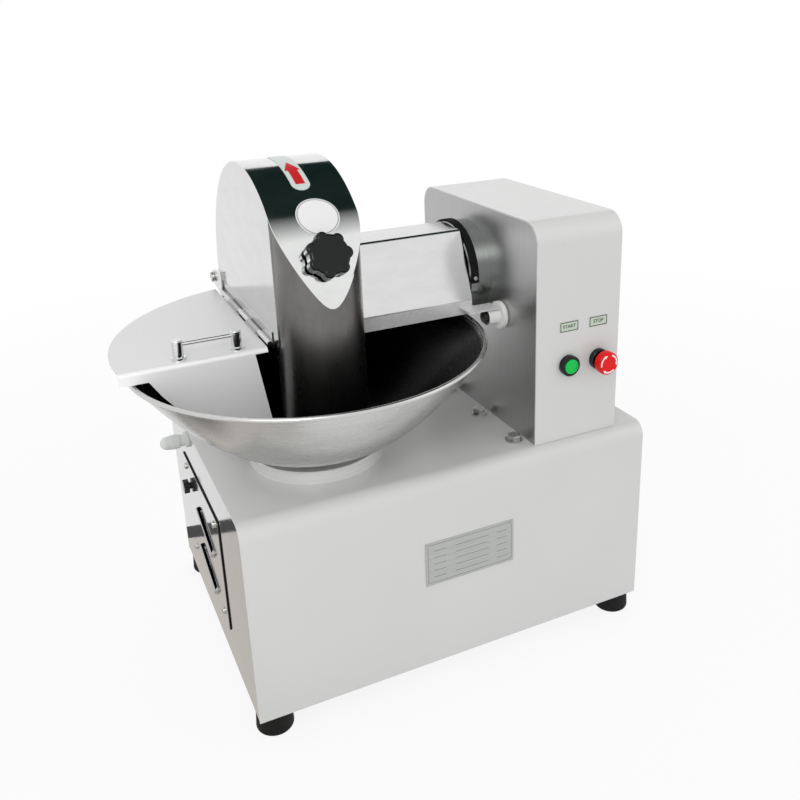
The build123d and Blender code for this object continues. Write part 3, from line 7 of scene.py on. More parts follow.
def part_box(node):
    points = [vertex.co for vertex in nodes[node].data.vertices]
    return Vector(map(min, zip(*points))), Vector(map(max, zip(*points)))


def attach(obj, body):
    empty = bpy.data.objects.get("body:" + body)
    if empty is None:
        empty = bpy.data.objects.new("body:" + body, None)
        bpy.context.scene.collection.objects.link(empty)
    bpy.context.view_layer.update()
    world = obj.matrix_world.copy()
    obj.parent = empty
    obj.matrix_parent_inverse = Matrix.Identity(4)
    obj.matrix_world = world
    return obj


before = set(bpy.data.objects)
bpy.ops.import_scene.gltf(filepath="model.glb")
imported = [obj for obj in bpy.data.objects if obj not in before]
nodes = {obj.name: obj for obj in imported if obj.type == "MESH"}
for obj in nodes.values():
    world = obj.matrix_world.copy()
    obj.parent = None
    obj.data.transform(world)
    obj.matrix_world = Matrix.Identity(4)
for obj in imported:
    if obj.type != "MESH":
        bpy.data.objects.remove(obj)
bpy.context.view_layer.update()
print("frame loaded", len(nodes), "nodes")


def middle(name):
    low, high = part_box(name)
    return tuple((a + b) / 2 for a, b in zip(low, high))


def toned(colour, share, lift=0.0):
    # the same colour, darker or paler
    return tuple(min(1.0, part * share + lift) for part in colour)


# axes, faces and thicknesses that the finishes and marks follow, in metres
rimBead = 0.003
plateSheet = 0.0008
hoodPlateSheet = 0.0005
bowlCentre = middle("bowl")
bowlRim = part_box("bowl")[1][0] - bowlCentre[0] - rimBead
shaftCentre = middle("knife_shaft")
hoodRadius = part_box("hood_band")[1][2] - shaftCentre[2]
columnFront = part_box("column_shell")[0][1]
plateFace = columnFront - plateSheet
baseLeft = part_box("base_shell")[0][0]
startMiddle = middle("start_button")
stopMiddle = middle("stop_button")
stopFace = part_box("stop_button")[0][1]
plateHeight = middle("button_plates")[2]
band = {
    "x": middle("hood_band")[0],
    "y": shaftCentre[1],
    "z": shaftCentre[2],
    "radius": hoodRadius + hoodPlateSheet,
}


def onBand(across, angle, lift=0.0):
    # a point on the face of the hood's plates, by its angle above the front
    reach = band["radius"] + lift
    forward, upward = reach * cos(radians(angle)), reach * sin(radians(angle))
    return (band["x"] + across, band["y"] - forward, band["z"] + upward)


class Wire:
    def __init__(self, graph, socket):
        self.graph = graph
        self.socket = socket

    def join(self, operation, first, second):
        made = self.graph.node("ShaderNodeMath", {"operation": operation}, {0: first, 1: second})
        return self.graph.out(made)

    def __add__(self, other):
        return self.join("ADD", self, other)

    def __radd__(self, other):
        return self.join("ADD", other, self)

    def __sub__(self, other):
        return self.join("SUBTRACT", self, other)

    def __rsub__(self, other):
        return self.join("SUBTRACT", other, self)

    def __mul__(self, other):
        return self.join("MULTIPLY", self, other)

    def __rmul__(self, other):
        return self.join("MULTIPLY", other, self)

    def __pow__(self, other):
        return self.join("POWER", self, other)

    def __rpow__(self, other):
        return self.join("POWER", other, self)


class Graph:
    def __init__(self, tree):
        self.tree = tree
        self.tree.nodes.clear()

    def node(self, kind, settings=None, inputs=None):
        made = self.tree.nodes.new(kind)
        for key, value in (settings or {}).items():
            setattr(made, key, value)
        for key, value in (inputs or {}).items():
            self.feed(made.inputs[key], value)
        return made

    def feed(self, socket, value):
        if isinstance(value, Wire):
            self.tree.links.new(value.socket, socket)
        elif isinstance(value, tuple) and len(value) == 3 and socket.type == "RGBA":
            socket.default_value = (*value, 1)
        else:
            socket.default_value = value

    def out(self, made, name=0):
        return Wire(self, made.outputs[name])

    def ramp(self, value, low, high, start=0.0, end=1.0):
        inputs = {"Value": value, "From Min": start, "From Max": end, "To Min": low, "To Max": high}
        return self.out(self.node("ShaderNodeMapRange", {"clamp": True}, inputs))

    def split(self, vector):
        parts = self.node("ShaderNodeSeparateXYZ", None, {0: vector})
        return [self.out(parts, index) for index in range(3)]

    def seen(self):
        # 1 where the camera looks, straight or in polished metal
        path = self.node("ShaderNodeLightPath")
        return self.out(path, "Is Camera Ray") + self.out(path, "Is Glossy Ray")


class Finish(Graph):
    def __init__(self, name, **constants):
        self.material = bpy.data.materials.new(name)
        self.material.use_nodes = True
        super().__init__(self.material.node_tree)
        self.shader = self.node("ShaderNodeBsdfPrincipled")
        self.output = self.node("ShaderNodeOutputMaterial", None, {"Surface": self.out(self.shader)})
        for key, value in constants.items():
            self.set(key, value)

    def set(self, name, value):
        # baseColor -> Base Color
        words = "".join(" " + letter if letter.isupper() else letter for letter in name).title()
        words = words.replace("Ior", "IOR")
        self.feed(self.shader.inputs[words], value)

    def surface(self, shader):
        self.feed(self.output.inputs["Surface"], shader)

    def place(self):
        return self.out(self.node("ShaderNodeTexCoord"), "Object")

    def facing(self):
        return self.out(self.node("ShaderNodeTexCoord"), "Normal")

    def vectors(self, operation, first, second):
        return self.out(self.node("ShaderNodeVectorMath", {"operation": operation}, {0: first, 1: second}))

    def stretched(self, scale, centre=(0, 0, 0)):
        return self.vectors("MULTIPLY", self.vectors("SUBTRACT", self.place(), centre), scale)

    def noise(self, vector, scale, detail=3.0, rough=0.55):
        inputs = {"Vector": vector, "Scale": scale, "Detail": detail, "Roughness": rough}
        return self.out(self.node("ShaderNodeTexNoise", None, inputs), "Fac")

    def cells(self, vector, scale):
        settings = {"feature": "DISTANCE_TO_EDGE"}
        made = self.node("ShaderNodeTexVoronoi", settings, {"Vector": vector, "Scale": scale})
        return self.out(made, "Distance")

    def tint(self, mask, first, second):
        made = self.node("ShaderNodeMix", {"data_type": "RGBA"}, {0: mask, 6: first, 7: second})
        return self.out(made, 2)

    def glow(self, colour, strength=1.0):
        return self.out(self.node("ShaderNodeEmission", None, {"Color": colour, "Strength": strength}))

    def blend(self, share, first, second):
        return self.out(self.node("ShaderNodeMixShader", None, {0: share, 1: first, 2: second}))

    def turned(self, centre, axis):
        # distance from an axis, and place along it
        x, y, z = self.split(self.stretched((1, 1, 1), centre))
        along, first, second = {"X": (x, y, z), "Z": (z, x, y)}[axis]
        radius = (first * first + second * second) ** 0.5
        return self.out(self.node("ShaderNodeCombineXYZ", None, {0: radius, 1: along}))

    def bump(self, height, strength, distance):
        inputs = {"Height": height, "Strength": strength, "Distance": distance}
        self.set("normal", self.out(self.node("ShaderNodeBump", None, inputs)))


def paintedSheet(name, colour):
    finish = Finish(name, roughness=0.34, coatWeight=0.25, coatRoughness=0.18, metallic=0.0)
    place = finish.place()
    broad = finish.noise(place, 3.5, 2.0)
    fine = finish.noise(place, 900.0, 2.0)
    dust = finish.noise(place, 60.0, 5.0, 0.7)
    deep = toned(colour, 0.955)
    finish.set("baseColor", finish.tint(finish.ramp(broad, 0.0, 1.0, 0.3, 0.7), deep, colour))
    finish.set("roughness", 0.29 + 0.10 * finish.ramp(dust, 0.0, 1.0, 0.35, 0.75) + 0.03 * broad)
    finish.bump(fine + 0.5 * finish.noise(place, 260.0, 1.0), 0.05, 0.0004)
    return finish.material


def brushedSteel(name, colour, along, rough=0.3, grain=1.0, metallic=1.0):
    # long scratches in one direction
    finish = Finish(name, metallic=metallic)
    scale = {"X": (5, 420, 420), "Y": (420, 5, 420), "Z": (420, 420, 5)}[along]
    hair = finish.noise(finish.stretched(scale), 2.2, 5.0, 0.62)
    hairFine = finish.noise(finish.stretched(tuple(part * 2.7 for part in scale)), 1.7, 3.0, 0.7)
    broad = finish.noise(finish.place(), 9.0, 3.0)
    mark = finish.noise(finish.stretched((40, 40, 40)), 1.0, 6.0, 0.75)
    dark = toned(colour, 0.84)
    finish.set("baseColor", finish.tint(finish.ramp(hair, 0.0, 1.0, 0.3, 0.7), dark, colour))
    scuff = finish.ramp(mark, 0.0, 1.0, 0.55, 0.8)
    finish.set("roughness", (rough - 0.07) + 0.12 * hair + 0.05 * broad + 0.05 * scuff)
    finish.bump(hair + 0.6 * hairFine, 0.10 * grain, 0.0003)
    return finish.material


# depths under the lid's top at which the flap's painted pale reflection starts and is full
lidFold = {"bare": 0.0035, "pale": 0.010}


def lidSheet(name, top, flap):
    # brushed top, over a flap painted pale and matt as a painted reflection of white surroundings
    finish = Finish(name)
    hair = finish.noise(finish.stretched((5, 420, 420)), 2.2, 5.0, 0.62)
    mark = finish.noise(finish.stretched((40, 40, 40)), 1.0, 6.0, 0.75)
    height = finish.split(finish.place())[2]
    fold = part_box("lid")[1][2]
    # mask of the flap's painted reflection: pale, matt and not metallic under the fold
    flapPaintedMask = finish.ramp(height, 1.0, 0.0, fold - lidFold["pale"], fold - lidFold["bare"])
    brushed = finish.tint(finish.ramp(hair, 0.0, 1.0, 0.3, 0.7), toned(top, 0.9), top)
    finish.set("baseColor", finish.tint(flapPaintedMask, brushed, flap))
    finish.set("metallic", 0.7 - 0.7 * flapPaintedMask)
    finish.set("roughness", 0.30 + 0.10 * hair + 0.05 * finish.ramp(mark, 0.0, 1.0, 0.55, 0.8))
    finish.bump(hair, 0.025, 0.0003)
    return finish.material


def spunSteel(name, colour, centre, axis, rough=0.3, grain=1.0, metallic=1.0):
    # rings left by turning or spinning
    finish = Finish(name, metallic=metallic)
    rings = finish.turned(centre, axis)
    hair = finish.noise(rings, 620.0, 5.0, 0.65)
    bands = finish.noise(rings, 70.0, 2.0)
    broad = finish.noise(finish.place(), 12.0, 4.0, 0.6)
    smear = finish.noise(finish.stretched((30, 30, 70)), 1.0, 5.0, 0.7)
    dark = toned(colour, 0.82)
    finish.set("baseColor", finish.tint(finish.ramp(hair, 0.0, 1.0, 0.3, 0.7), dark, colour))
    film = finish.ramp(smear, 0.0, 1.0, 0.5, 0.8)
    finish.set("roughness", (rough - 0.08) + 0.10 * hair + 0.05 * bands + 0.06 * film + 0.03 * broad)
    finish.bump(hair + 0.8 * bands, 0.09 * grain, 0.0003)
    return finish.material


def bowlSteel(name, outside, inside):
    # satin spun outside; inside the rim polished, with a near-black painted dark reflection
    finish = Finish(name, metallic=1.0)
    rings = finish.turned(bowlCentre, "Z")
    hair = finish.noise(rings, 620.0, 5.0, 0.65)
    bands = finish.noise(rings, 55.0, 2.0)
    smear = finish.noise(finish.stretched((16, 16, 45)), 1.0, 5.0, 0.65)
    upward = finish.split(finish.facing())[2]
    radius = finish.split(rings)[0]
    within = finish.ramp(radius, 1.0, 0.0, bowlRim - 2 * rimBead, bowlRim - rimBead)
    # painted dark reflection: faces inside the rim that look up take the near-black inside colour, varied by
    # smears
    hollow = finish.ramp(upward, 0.0, 1.0, -0.02, 0.02) * within
    worn = toned(outside, 0.86)
    film = toned(inside, 1.5, 0.002)
    satin = finish.tint(finish.ramp(hair + 0.6 * smear, 0.0, 1.0, 0.5, 1.1), worn, outside)
    polished = finish.tint(finish.ramp(smear, 0.0, 1.0, 0.45, 0.8), inside, film)
    finish.set("baseColor", finish.tint(hollow, satin, polished))
    mat = 0.22 + 0.08 * hair + 0.07 * finish.ramp(smear, 0.0, 1.0, 0.45, 0.85)
    finish.set("roughness", mat + hollow * (0.02 - 0.05 * bands))
    finish.bump(hair + 0.5 * bands, 0.06, 0.0003)
    return finish.material


guardReflectionFade = 0.45  # share of the guard's height over which the painted dark reflection fades out


def guardSteel(name, pale, dark):
    # rolled sheet, with a painted dark reflection where it stands low in the bowl
    finish = Finish(name, metallic=1.0)
    hair = finish.noise(finish.stretched((320, 320, 9)), 1.4, 4.0, 0.6)
    cloud = finish.noise(finish.stretched((26, 26, 13)), 1.0, 5.0, 0.6)
    height = finish.split(finish.place())[2]
    low, high = (corner[2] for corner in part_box("front_guard"))
    # painted dark reflection, strongest at the guard's foot, mixed with random cloudy tone
    paintedDarkLow = finish.ramp(height, 1.0, 0.0, low, low + guardReflectionFade * (high - low))
    finish.set("baseColor", finish.tint(finish.ramp(cloud + 0.8 * paintedDarkLow, 0.0, 1.0, 0.4, 1.3), pale, dark))
    finish.set("roughness", 0.24 + 0.06 * hair + 0.10 * finish.ramp(cloud, 0.0, 1.0, 0.4, 0.8))
    finish.bump(0.5 * hair + 0.7 * cloud, 0.07, 0.0004)
    return finish.material


# distances from the pin's tip at which the dark plug ends and the white bush starts
pinPlug = {"end": 0.0045, "past": 0.0048}


def pinNylon(name, body, cap):
    # white bush with a dark end plug
    finish = Finish(name, metallic=0.0, coatWeight=0.2, coatRoughness=0.2)
    place = finish.place()
    skin = finish.noise(place, 420.0, 3.0, 0.6)
    haze = finish.noise(place, 80.0, 4.0, 0.7)
    along = finish.split(place)[0]
    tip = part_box("rest_pin")[0][0]
    plug = finish.ramp(along, 1.0, 0.0, tip + pinPlug["end"], tip + pinPlug["past"])
    bush = finish.tint(finish.ramp(haze, 0.0, 1.0, 0.4, 0.8), body, toned(body, 0.9))
    finish.set("baseColor", finish.tint(plug, bush, cap))
    finish.set("roughness", 0.32 + 0.08 * skin)
    finish.bump(skin, 0.06, 0.0003)
    return finish.material


def polishedSteel(name, colour, rough=0.06):
    finish = Finish(name, metallic=1.0)
    place = finish.place()
    smear = finish.noise(finish.stretched((22, 22, 55)), 1.0, 5.0, 0.65)
    hair = finish.noise(finish.stretched((90, 700, 260)), 1.0, 4.0, 0.7)
    wave = finish.noise(place, 7.0, 1.0)
    dark = toned(colour, 0.93)
    finish.set("baseColor", finish.tint(finish.ramp(smear, 0.0, 1.0, 0.35, 0.75), colour, dark))
    finish.set("roughness", rough + 0.07 * finish.ramp(smear, 0.0, 1.0, 0.45, 0.85) + 0.05 * hair)
    finish.bump(wave + 0.006 * hair, 0.10, 0.0016)
    return finish.material


# heights over the arm cover's foot at which the matt lip ends and the mirror starts
armLip = {"matt": 0.018, "bright": 0.0205}


def armSheet(name, colour, rough):
    # mirror panel whose lower lip is matt
    finish = Finish(name)
    smear = finish.noise(finish.stretched((22, 22, 55)), 1.0, 5.0, 0.65)
    wave = finish.noise(finish.place(), 7.0, 1.0)
    height = finish.split(finish.place())[2]
    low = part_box("arm_cover")[0][2]
    lip = finish.ramp(height, 1.0, 0.0, low + armLip["matt"], low + armLip["bright"])
    dark = toned(colour, 0.93)
    finish.set("baseColor", finish.tint(finish.ramp(smear, 0.0, 1.0, 0.35, 0.75), colour, dark))
    finish.set("metallic", 1.0 - 0.8 * lip)
    finish.set("roughness", rough + 0.07 * finish.ramp(smear, 0.0, 1.0, 0.45, 0.85) + 0.1 * lip)
    finish.bump(wave, 0.10, 0.0016)
    return finish.material


def castMetal(name, colour, rough=0.45, metallic=1.0, scale=240.0):
    finish = Finish(name, metallic=metallic)
    place = finish.place()
    grit = finish.noise(place, scale, 5.0, 0.6)
    pits = finish.cells(place, scale * 2.5)
    stain = finish.noise(place, 18.0, 4.0, 0.6)
    dark = toned(colour, 0.8)
    finish.set("baseColor", finish.tint(finish.ramp(stain, 0.0, 1.0, 0.35, 0.7), dark, colour))
    finish.set("roughness", (rough - 0.08) + 0.16 * grit + 0.04 * stain)
    finish.bump(grit + 0.4 * finish.ramp(pits, 0.0, 1.0, 0.0, 0.3), 0.16, 0.0005)
    return finish.material


def plainRubber(name, colour=(0.010, 0.010, 0.010)):
    finish = Finish(name, metallic=0.0, specularIorLevel=0.15)
    place = finish.place()
    grain = finish.noise(place, 700.0, 4.0, 0.6)
    dust = finish.noise(place, 45.0, 5.0, 0.7)
    grey = toned(colour, 1.8, 0.006)
    finish.set("baseColor", finish.tint(finish.ramp(dust, 0.0, 1.0, 0.5, 0.85), colour, grey))
    finish.set("roughness", 0.56 + 0.2 * grain)
    finish.bump(grain, 0.22, 0.0004)
    return finish.material


def moulded(name, colour, rough=0.2, coat=0.1, shine=0.18, grainSize=500.0, grain=0.06):
    finish = Finish(name, metallic=0.0, coatWeight=coat, coatRoughness=0.1, specularIorLevel=shine)
    place = finish.place()
    skin = finish.noise(place, grainSize, 3.0, 0.6)
    haze = finish.noise(place, 70.0, 4.0, 0.7)
    worn = toned(colour, 1.12, 0.002)
    finish.set("baseColor", finish.tint(finish.ramp(haze, 0.0, 0.8, 0.45, 0.8), colour, worn))
    finish.set("roughness", rough + 0.10 * finish.ramp(haze, 0.0, 1.0, 0.4, 0.8) + 0.05 * skin)
    finish.bump(skin, grain, 0.0003)
    return finish.material


def enamelled(name, colour):
    # printed plate, slightly uneven ink
    finish = Finish(name, metallic=0.0, coatWeight=0.1, coatRoughness=0.12, specularIorLevel=0.25)
    place = finish.place()
    ink = finish.noise(place, 380.0, 3.0, 0.6)
    haze = finish.noise(place, 30.0, 3.0, 0.6)
    pale = toned(colour, 1.06)
    finish.set("baseColor", finish.tint(finish.ramp(haze, 0.0, 1.0, 0.35, 0.7), colour, pale))
    finish.set("roughness", 0.28 + 0.1 * ink)
    finish.bump(ink, 0.05, 0.0002)
    return finish.material


# round plate on the hood, and its printed ring in metres inside the edge
hoodDisc = {
    "centre": onBand(0.0045, 45.5),
    "radius": 0.026,
    "beyond": (0.003, 0.004),  # metres outside the edge where the strip's colour takes over
    "ringInner": (0.0028, 0.0024),
    "ringOuter": (0.0012, 0.0008),
}


def hoodEnamel(name, strip, face, ring):
    # the strip over the hood and the round plate below it, with a thin ring
    finish = Finish(name, metallic=0.0, coatWeight=0.1, coatRoughness=0.12, specularIorLevel=0.25)
    ink = finish.noise(finish.place(), 380.0, 3.0, 0.6)
    x, y, z = finish.split(finish.stretched((1, 1, 1), hoodDisc["centre"]))
    reach = (x * x + y * y + z * z) ** 0.5
    edge = hoodDisc["radius"]
    inside = finish.ramp(reach, 1.0, 0.0, *(edge + step for step in hoodDisc["beyond"]))
    pastInner = finish.ramp(reach, 0.0, 1.0, *(edge - step for step in hoodDisc["ringInner"]))
    withinOuter = finish.ramp(reach, 1.0, 0.0, *(edge - step for step in hoodDisc["ringOuter"]))
    plain = finish.tint(inside, strip, face)
    finish.set("baseColor", finish.tint(pastInner * withinOuter * inside, plain, ring))
    finish.set("roughness", 0.28 + 0.1 * ink)
    finish.bump(ink, 0.05, 0.0002)
    return finish.material


finishes = {
    "paint": paintedSheet("greyPaint", (0.655, 0.66, 0.65)),
    "columnPlate": brushedSteel("columnPlateSteel", (0.50, 0.50, 0.50), "Z", 0.34, 0.25),
    "endPlate": polishedSteel("endPlateSteel", (0.46, 0.465, 0.46), 0.05),
    "sideCover": polishedSteel("sideCoverSteel", (0.46, 0.465, 0.46), 0.06),
    "rightPlate": brushedSteel("rightPlateSteel", (0.62, 0.63, 0.63), "Y", 0.34, 0.8),
    "floorSheet": castMetal("zincSheet", (0.52, 0.54, 0.56), 0.42, 1.0, 60.0),
    # the bowl's near-black inside colour is a painted dark reflection
    "bowlSteel": bowlSteel("spunBowl", (0.64, 0.64, 0.63), (0.005, 0.005, 0.005)),
    "collarMetal": spunSteel("turnedCollar", (0.88, 0.88, 0.87), bowlCentre, "Z", 0.34, 0.7, 0.4),
    "hubMetal": castMetal("castHub", (0.55, 0.56, 0.57), 0.4),
    "hoodBand": polishedSteel("bandMirror", (0.78, 0.79, 0.78), 0.07),
    "hoodWall": polishedSteel("hoodWallSteel", (0.66, 0.665, 0.66), 0.12),
    # both guard colours are darkened as a painted dark reflection
    "guard": guardSteel("guardSteel", (0.20, 0.195, 0.19), (0.06, 0.06, 0.06)),
    "arm": armSheet("armMirror", (0.72, 0.72, 0.72), 0.16),
    # the flap's pale 0.90 colour is a painted reflection
    "lid": lidSheet("lidSteel", (0.46, 0.46, 0.46), (0.90, 0.90, 0.90)),
    "housing": spunSteel("turnedHousing", (0.36, 0.38, 0.365), shaftCentre, "X", 0.16, 0.6),
    "shaft": spunSteel("groundShaft", (0.62, 0.63, 0.64), shaftCentre, "X", 0.2, 0.6),
    "knife": brushedSteel("bladeSteel", (0.70, 0.71, 0.72), "Y", 0.16, 0.4),
    "zinc": castMetal("zincPlate", (0.60, 0.60, 0.58), 0.24, 1.0, 400.0),
    "posts": spunSteel("handleSteel", (0.82, 0.83, 0.83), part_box("lid_handle")[0], "Z", 0.14, 0.3),
    "iron": castMetal("enamelledIron", (0.10, 0.12, 0.13), 0.42, 0.0, 160.0),
    "bronze": castMetal("cutBronze", (0.52, 0.34, 0.14), 0.32, 1.0, 300.0),
    "bearing": spunSteel("bearingSteel", (0.50, 0.51, 0.53), shaftCentre, "X", 0.24, 0.6),
    "rubber": plainRubber("matRubber"),
    "seal": plainRubber("sealRubber", (0.006, 0.006, 0.006)),
    "blackKnob": moulded("blackKnob", (0.004, 0.005, 0.005), 0.16, 0.15, 0.2, 420.0, 0.05),
    "greenCap": moulded("greenCap", (0.003, 0.54, 0.08), 0.22),
    "redHead": moulded("redHead", (0.74, 0.003, 0.005), 0.2),
    "whiteNylon": pinNylon("whiteNylon", (0.82, 0.82, 0.80), (0.015, 0.015, 0.015)),
    "greyNylon": moulded("greyNylon", (0.64, 0.66, 0.64), 0.38, 0.05, 0.4),
    "plate": brushedSteel("plateFoil", (0.50, 0.51, 0.50), "X", 0.42, 0.25, 0.6),
    "paleGreen": enamelled("paleGreenPlate", (0.52, 0.60, 0.50)),
    "whitePlate": enamelled("whitePlate", (0.83, 0.83, 0.82)),
    "hoodPlates": hoodEnamel("hoodPlates", (0.56, 0.62, 0.59), (0.74, 0.745, 0.74), (0.36, 0.37, 0.37)),
    "inkBlack": enamelled("blackInk", (0.008, 0.008, 0.008)),
    "inkRed": enamelled("redInk", (0.52, 0.006, 0.010)),
    "inkGrey": enamelled("greyInk", (0.10, 0.105, 0.105)),
}
print("finishes made", len(finishes))

nodeFinish = {
    "base_shell": "paint", "column_shell": "paint", "base_floor": "floorSheet",
    "left_side_plate": "endPlate", "side_cover": "sideCover", "right_side_plate": "rightPlate",
    "column_left_plate": "columnPlate", "column_right_plate": "columnPlate",
    "pan_screws": "zinc", "cable_gland": "greyNylon", "feet": "rubber", "foot_bolts": "zinc",
    "frame_bolts": "zinc", "rest_pin": "whiteNylon", "bowl_collar": "collarMetal",
    "bearing_housing": "housing", "housing_seal": "seal", "start_bezel": "blackKnob",
    "stop_collar": "blackKnob", "start_button": "greenCap", "stop_button": "redHead",
    "stop_stem": "blackKnob", "button_plates": "paleGreen", "name_plate": "plate",
    "knife_bearings": "bearing", "gearbox_bearings": "bearing", "hinge_bracket": "rightPlate",
    "cover_hinge_pin": "zinc", "motor_body": "iron", "gearbox_housing": "iron",
    "gearbox_cover": "iron", "knife_belt": "rubber", "worm_belt": "rubber",
    "side_knob": "blackKnob", "motor_rotor": "shaft", "motor_pulley": "hubMetal",
    "worm_shaft": "shaft", "worm_pulley": "hubMetal", "spindle": "shaft", "worm_wheel": "bronze",
    "bowl_hub": "hubMetal", "bowl": "bowlSteel", "bowl_nut": "collarMetal", "knife_shaft": "shaft",
    "shaft_pulley": "hubMetal", "knives": "knife", "knife_spacers": "shaft", "knife_nut": "shaft",
    "hood_left_wall": "hoodWall", "hood_right_wall": "hoodWall", "hood_band": "hoodBand",
    "front_guard": "guard", "arm_cover": "arm", "lid_hinge_leaf": "hoodWall",
    "hood_plates": "hoodPlates", "hood_knob": "blackKnob", "lid": "lid", "lid_handle": "posts",
}
softEdges = {  # bevel width in metres on pressed or machined edges
    "base_shell": 0.0005, "column_shell": 0.0005, "column_left_plate": 0.0005, "side_cover": 0.0005,
    "bowl_collar": 0.0006, "bearing_housing": 0.0005, "lid": 0.0004, "arm_cover": 0.0004,
    "hood_band": 0.0004, "front_guard": 0.0004, "hood_knob": 0.0008, "side_knob": 0.0005,
    "rest_pin": 0.0006, "frame_bolts": 0.0004, "lid_handle": 0.0004, "feet": 0.0008,
}
sharpest = radians(40)  # edges that turn less stay as they are
for name, node in nodes.items():
    node.data.materials.clear()
    node.data.materials.append(finishes[nodeFinish[name]])
    if name in softEdges:
        bevel = node.modifiers.new("softEdge", "BEVEL")
        bevel.width = softEdges[name]
        bevel.segments = 2
        bevel.limit_method = "ANGLE"
        bevel.angle_limit = sharpest
        bevel.harden_normals = True
print("nodes dressed")


def addPiece(name, data, finish, body, spot=(0, 0, 0), turn=(0, 0, 0)):
    piece = bpy.data.objects.new(name, data)
    bpy.context.scene.collection.objects.link(piece)
    piece.location = spot
    piece.rotation_euler = turn
    piece.data.materials.append(finish)
    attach(piece, body)


def loft(name, loops, finish, body, hollow=False, triangles=False):
    # loops of points, each joined to the next; a hollow piece closes on itself, any other has flat ends
    work = bmesh.new()
    rows = [[work.verts.new(point) for point in loop] for loop in loops]
    if hollow:
        rows.append(rows[0])
    else:
        work.faces.new(rows[0])
        work.faces.new(list(reversed(rows[-1])))
    for first, second in zip(rows, rows[1:]):
        for index in range(len(first)):
            after = (index + 1) % len(first)
            work.faces.new((first[after], first[index], second[index], second[after]))
    if triangles:
        bmesh.ops.triangulate(work, faces=work.faces[:])
    bmesh.ops.recalc_face_normals(work, faces=work.faces)
    mesh = bpy.data.meshes.new(name)
    work.to_mesh(mesh)
    work.free()
    addPiece(name, mesh, finish, body)


def solidFrom(name, outline, depth, finish, body):
    # flat outline of 3-D points, thickened along the given step
    back = [Vector(point) + Vector(depth) for point in outline]
    loft(name, [outline, back], finish, body)


stopMark = {
    "count": 3,
    "start": 70,  # degrees, where the first arrow begins
    "sweep": radians(66),
    "steps": 12,
    "radius": 0.0122,
    "width": 0.0020,
    "head": 0.0046,
    "gap": 0.00005,
    "rise": 0.00025,
}


def stopPoint(radius, angle):
    y = stopFace - stopMark["gap"]
    return (stopMiddle[0] + radius * cos(angle), y, stopMiddle[2] + radius * sin(angle))


def stopArrows():
    # arcs with arrow heads, turning with the head
    radius, half, wide = stopMark["radius"], stopMark["width"] / 2, stopMark["head"] / 2
    for index in range(stopMark["count"]):
        start = radians(360 / stopMark["count"] * index + stopMark["start"])
        shares = [step / stopMark["steps"] for step in range(stopMark["steps"] + 1)]
        turns = [start - stopMark["sweep"] * share for share in shares]
        outer = [stopPoint(radius + half, angle) for angle in turns]
        inner = [stopPoint(radius - half, angle) for angle in turns]
        tip = [
            stopPoint(radius + wide, turns[-1]),
            stopPoint(radius, turns[-1] - stopMark["head"] / radius),
            stopPoint(radius - wide, turns[-1]),
        ]
        outline = outer + tip + list(reversed(inner))
        rise = (0, -stopMark["rise"], 0)
        solidFrom(f"stopArrow{index}", outline, rise, finishes["whitePlate"], "stop_button")


stopArrows()

plateMark = {
    "starts": startMiddle[0],
    "stops": stopMiddle[0] - 0.002,  # this plate stands left of its button
    "height": plateHeight,
    "wide": 0.028,
    "tall": 0.0135,
    "inset": 0.0003,
    "frame": 0.0009,
    "rise": 0.0002,
}


def plateFrame(name, x):
    outer, inner = plateMark["inset"], plateMark["inset"] + plateMark["frame"]
    loops = []
    for inset, lift in ((outer, 0.0), (outer, plateMark["rise"]), (inner, plateMark["rise"]), (inner, 0.0)):
        halfWide, halfTall = plateMark["wide"] / 2 - inset, plateMark["tall"] / 2 - inset
        corners = ((-halfWide, -halfTall), (halfWide, -halfTall), (halfWide, halfTall), (-halfWide, halfTall))
        loops.append([(x + u, plateFace - lift, plateMark["height"] + w) for u, w in corners])
    loft(name, loops, finishes["inkBlack"], "machine", hollow=True)


plateFrame("startPlateFrame", plateMark["starts"])
plateFrame("stopPlateFrame", plateMark["stops"])

lettering = {"size": 0.0068, "gap": 0.0001, "thick": 0.00012}


def word(name, text, x):
    curve = bpy.data.curves.new(name, "FONT")
    curve.body = text
    curve.size = lettering["size"]
    curve.align_x = "CENTER"
    curve.align_y = "CENTER"
    curve.extrude = lettering["thick"]
    spot = (x, plateFace - lettering["gap"], plateMark["height"])
    addPiece(name, curve, finishes["inkBlack"], "machine", spot, (pi / 2, 0, 0))


word("startWord", "START", plateMark["starts"])
word("stopWord", "STOP", plateMark["stops"])

# blank form on the big plate: a border and short faint rules
ruling = {
    "inset": 0.0035,
    "line": 0.0004,
    "rise": 0.00012,
    "heads": 0.0008,  # height of the plate's screw heads over its face
    "rows": 5,
    "lead": 0.8,  # the first row's height over the border, in rows
    "columns": ((0.012, 0.030), (0.044, 0.094), (0.106, 0.122)),
}


def plateRule(name, low, high):
    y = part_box("name_plate")[0][1] + ruling["heads"]
    outline = [(low[0], y, low[1]), (high[0], y, low[1]), (high[0], y, high[1]), (low[0], y, high[1])]
    solidFrom(name, outline, (0, -ruling["rise"], 0), finishes["inkGrey"], "machine")


def plateRuling():
    low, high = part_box("name_plate")
    left, right = low[0] + ruling["inset"], high[0] - ruling["inset"]
    bottom, top = low[2] + ruling["inset"], high[2] - ruling["inset"]
    line, lead = ruling["line"], ruling["lead"]
    for index, z in enumerate((bottom, top)):
        plateRule(f"plateEdge{index}", (left, z), (right, z + line))
    for index, x in enumerate((left, right)):
        plateRule(f"plateSide{index}", (x, bottom), (x + line, top + line))
    for row in range(ruling["rows"]):
        z = bottom + (top - bottom) * (row + lead) / (ruling["rows"] + lead)
        for index, (start, end) in enumerate(ruling["columns"]):
            plateRule(f"plateRow{row}{index}", (low[0] + start, z), (low[0] + end, z + line))


plateRuling()

# black rim round the cover on the left end: painted shadow of the gap between cover and plate
shadowGapRim = {"lap": 0.0012, "proud": 0.0016, "thick": 0.0013, "gap": 0.00005, "corner": 0.004, "steps": 4}


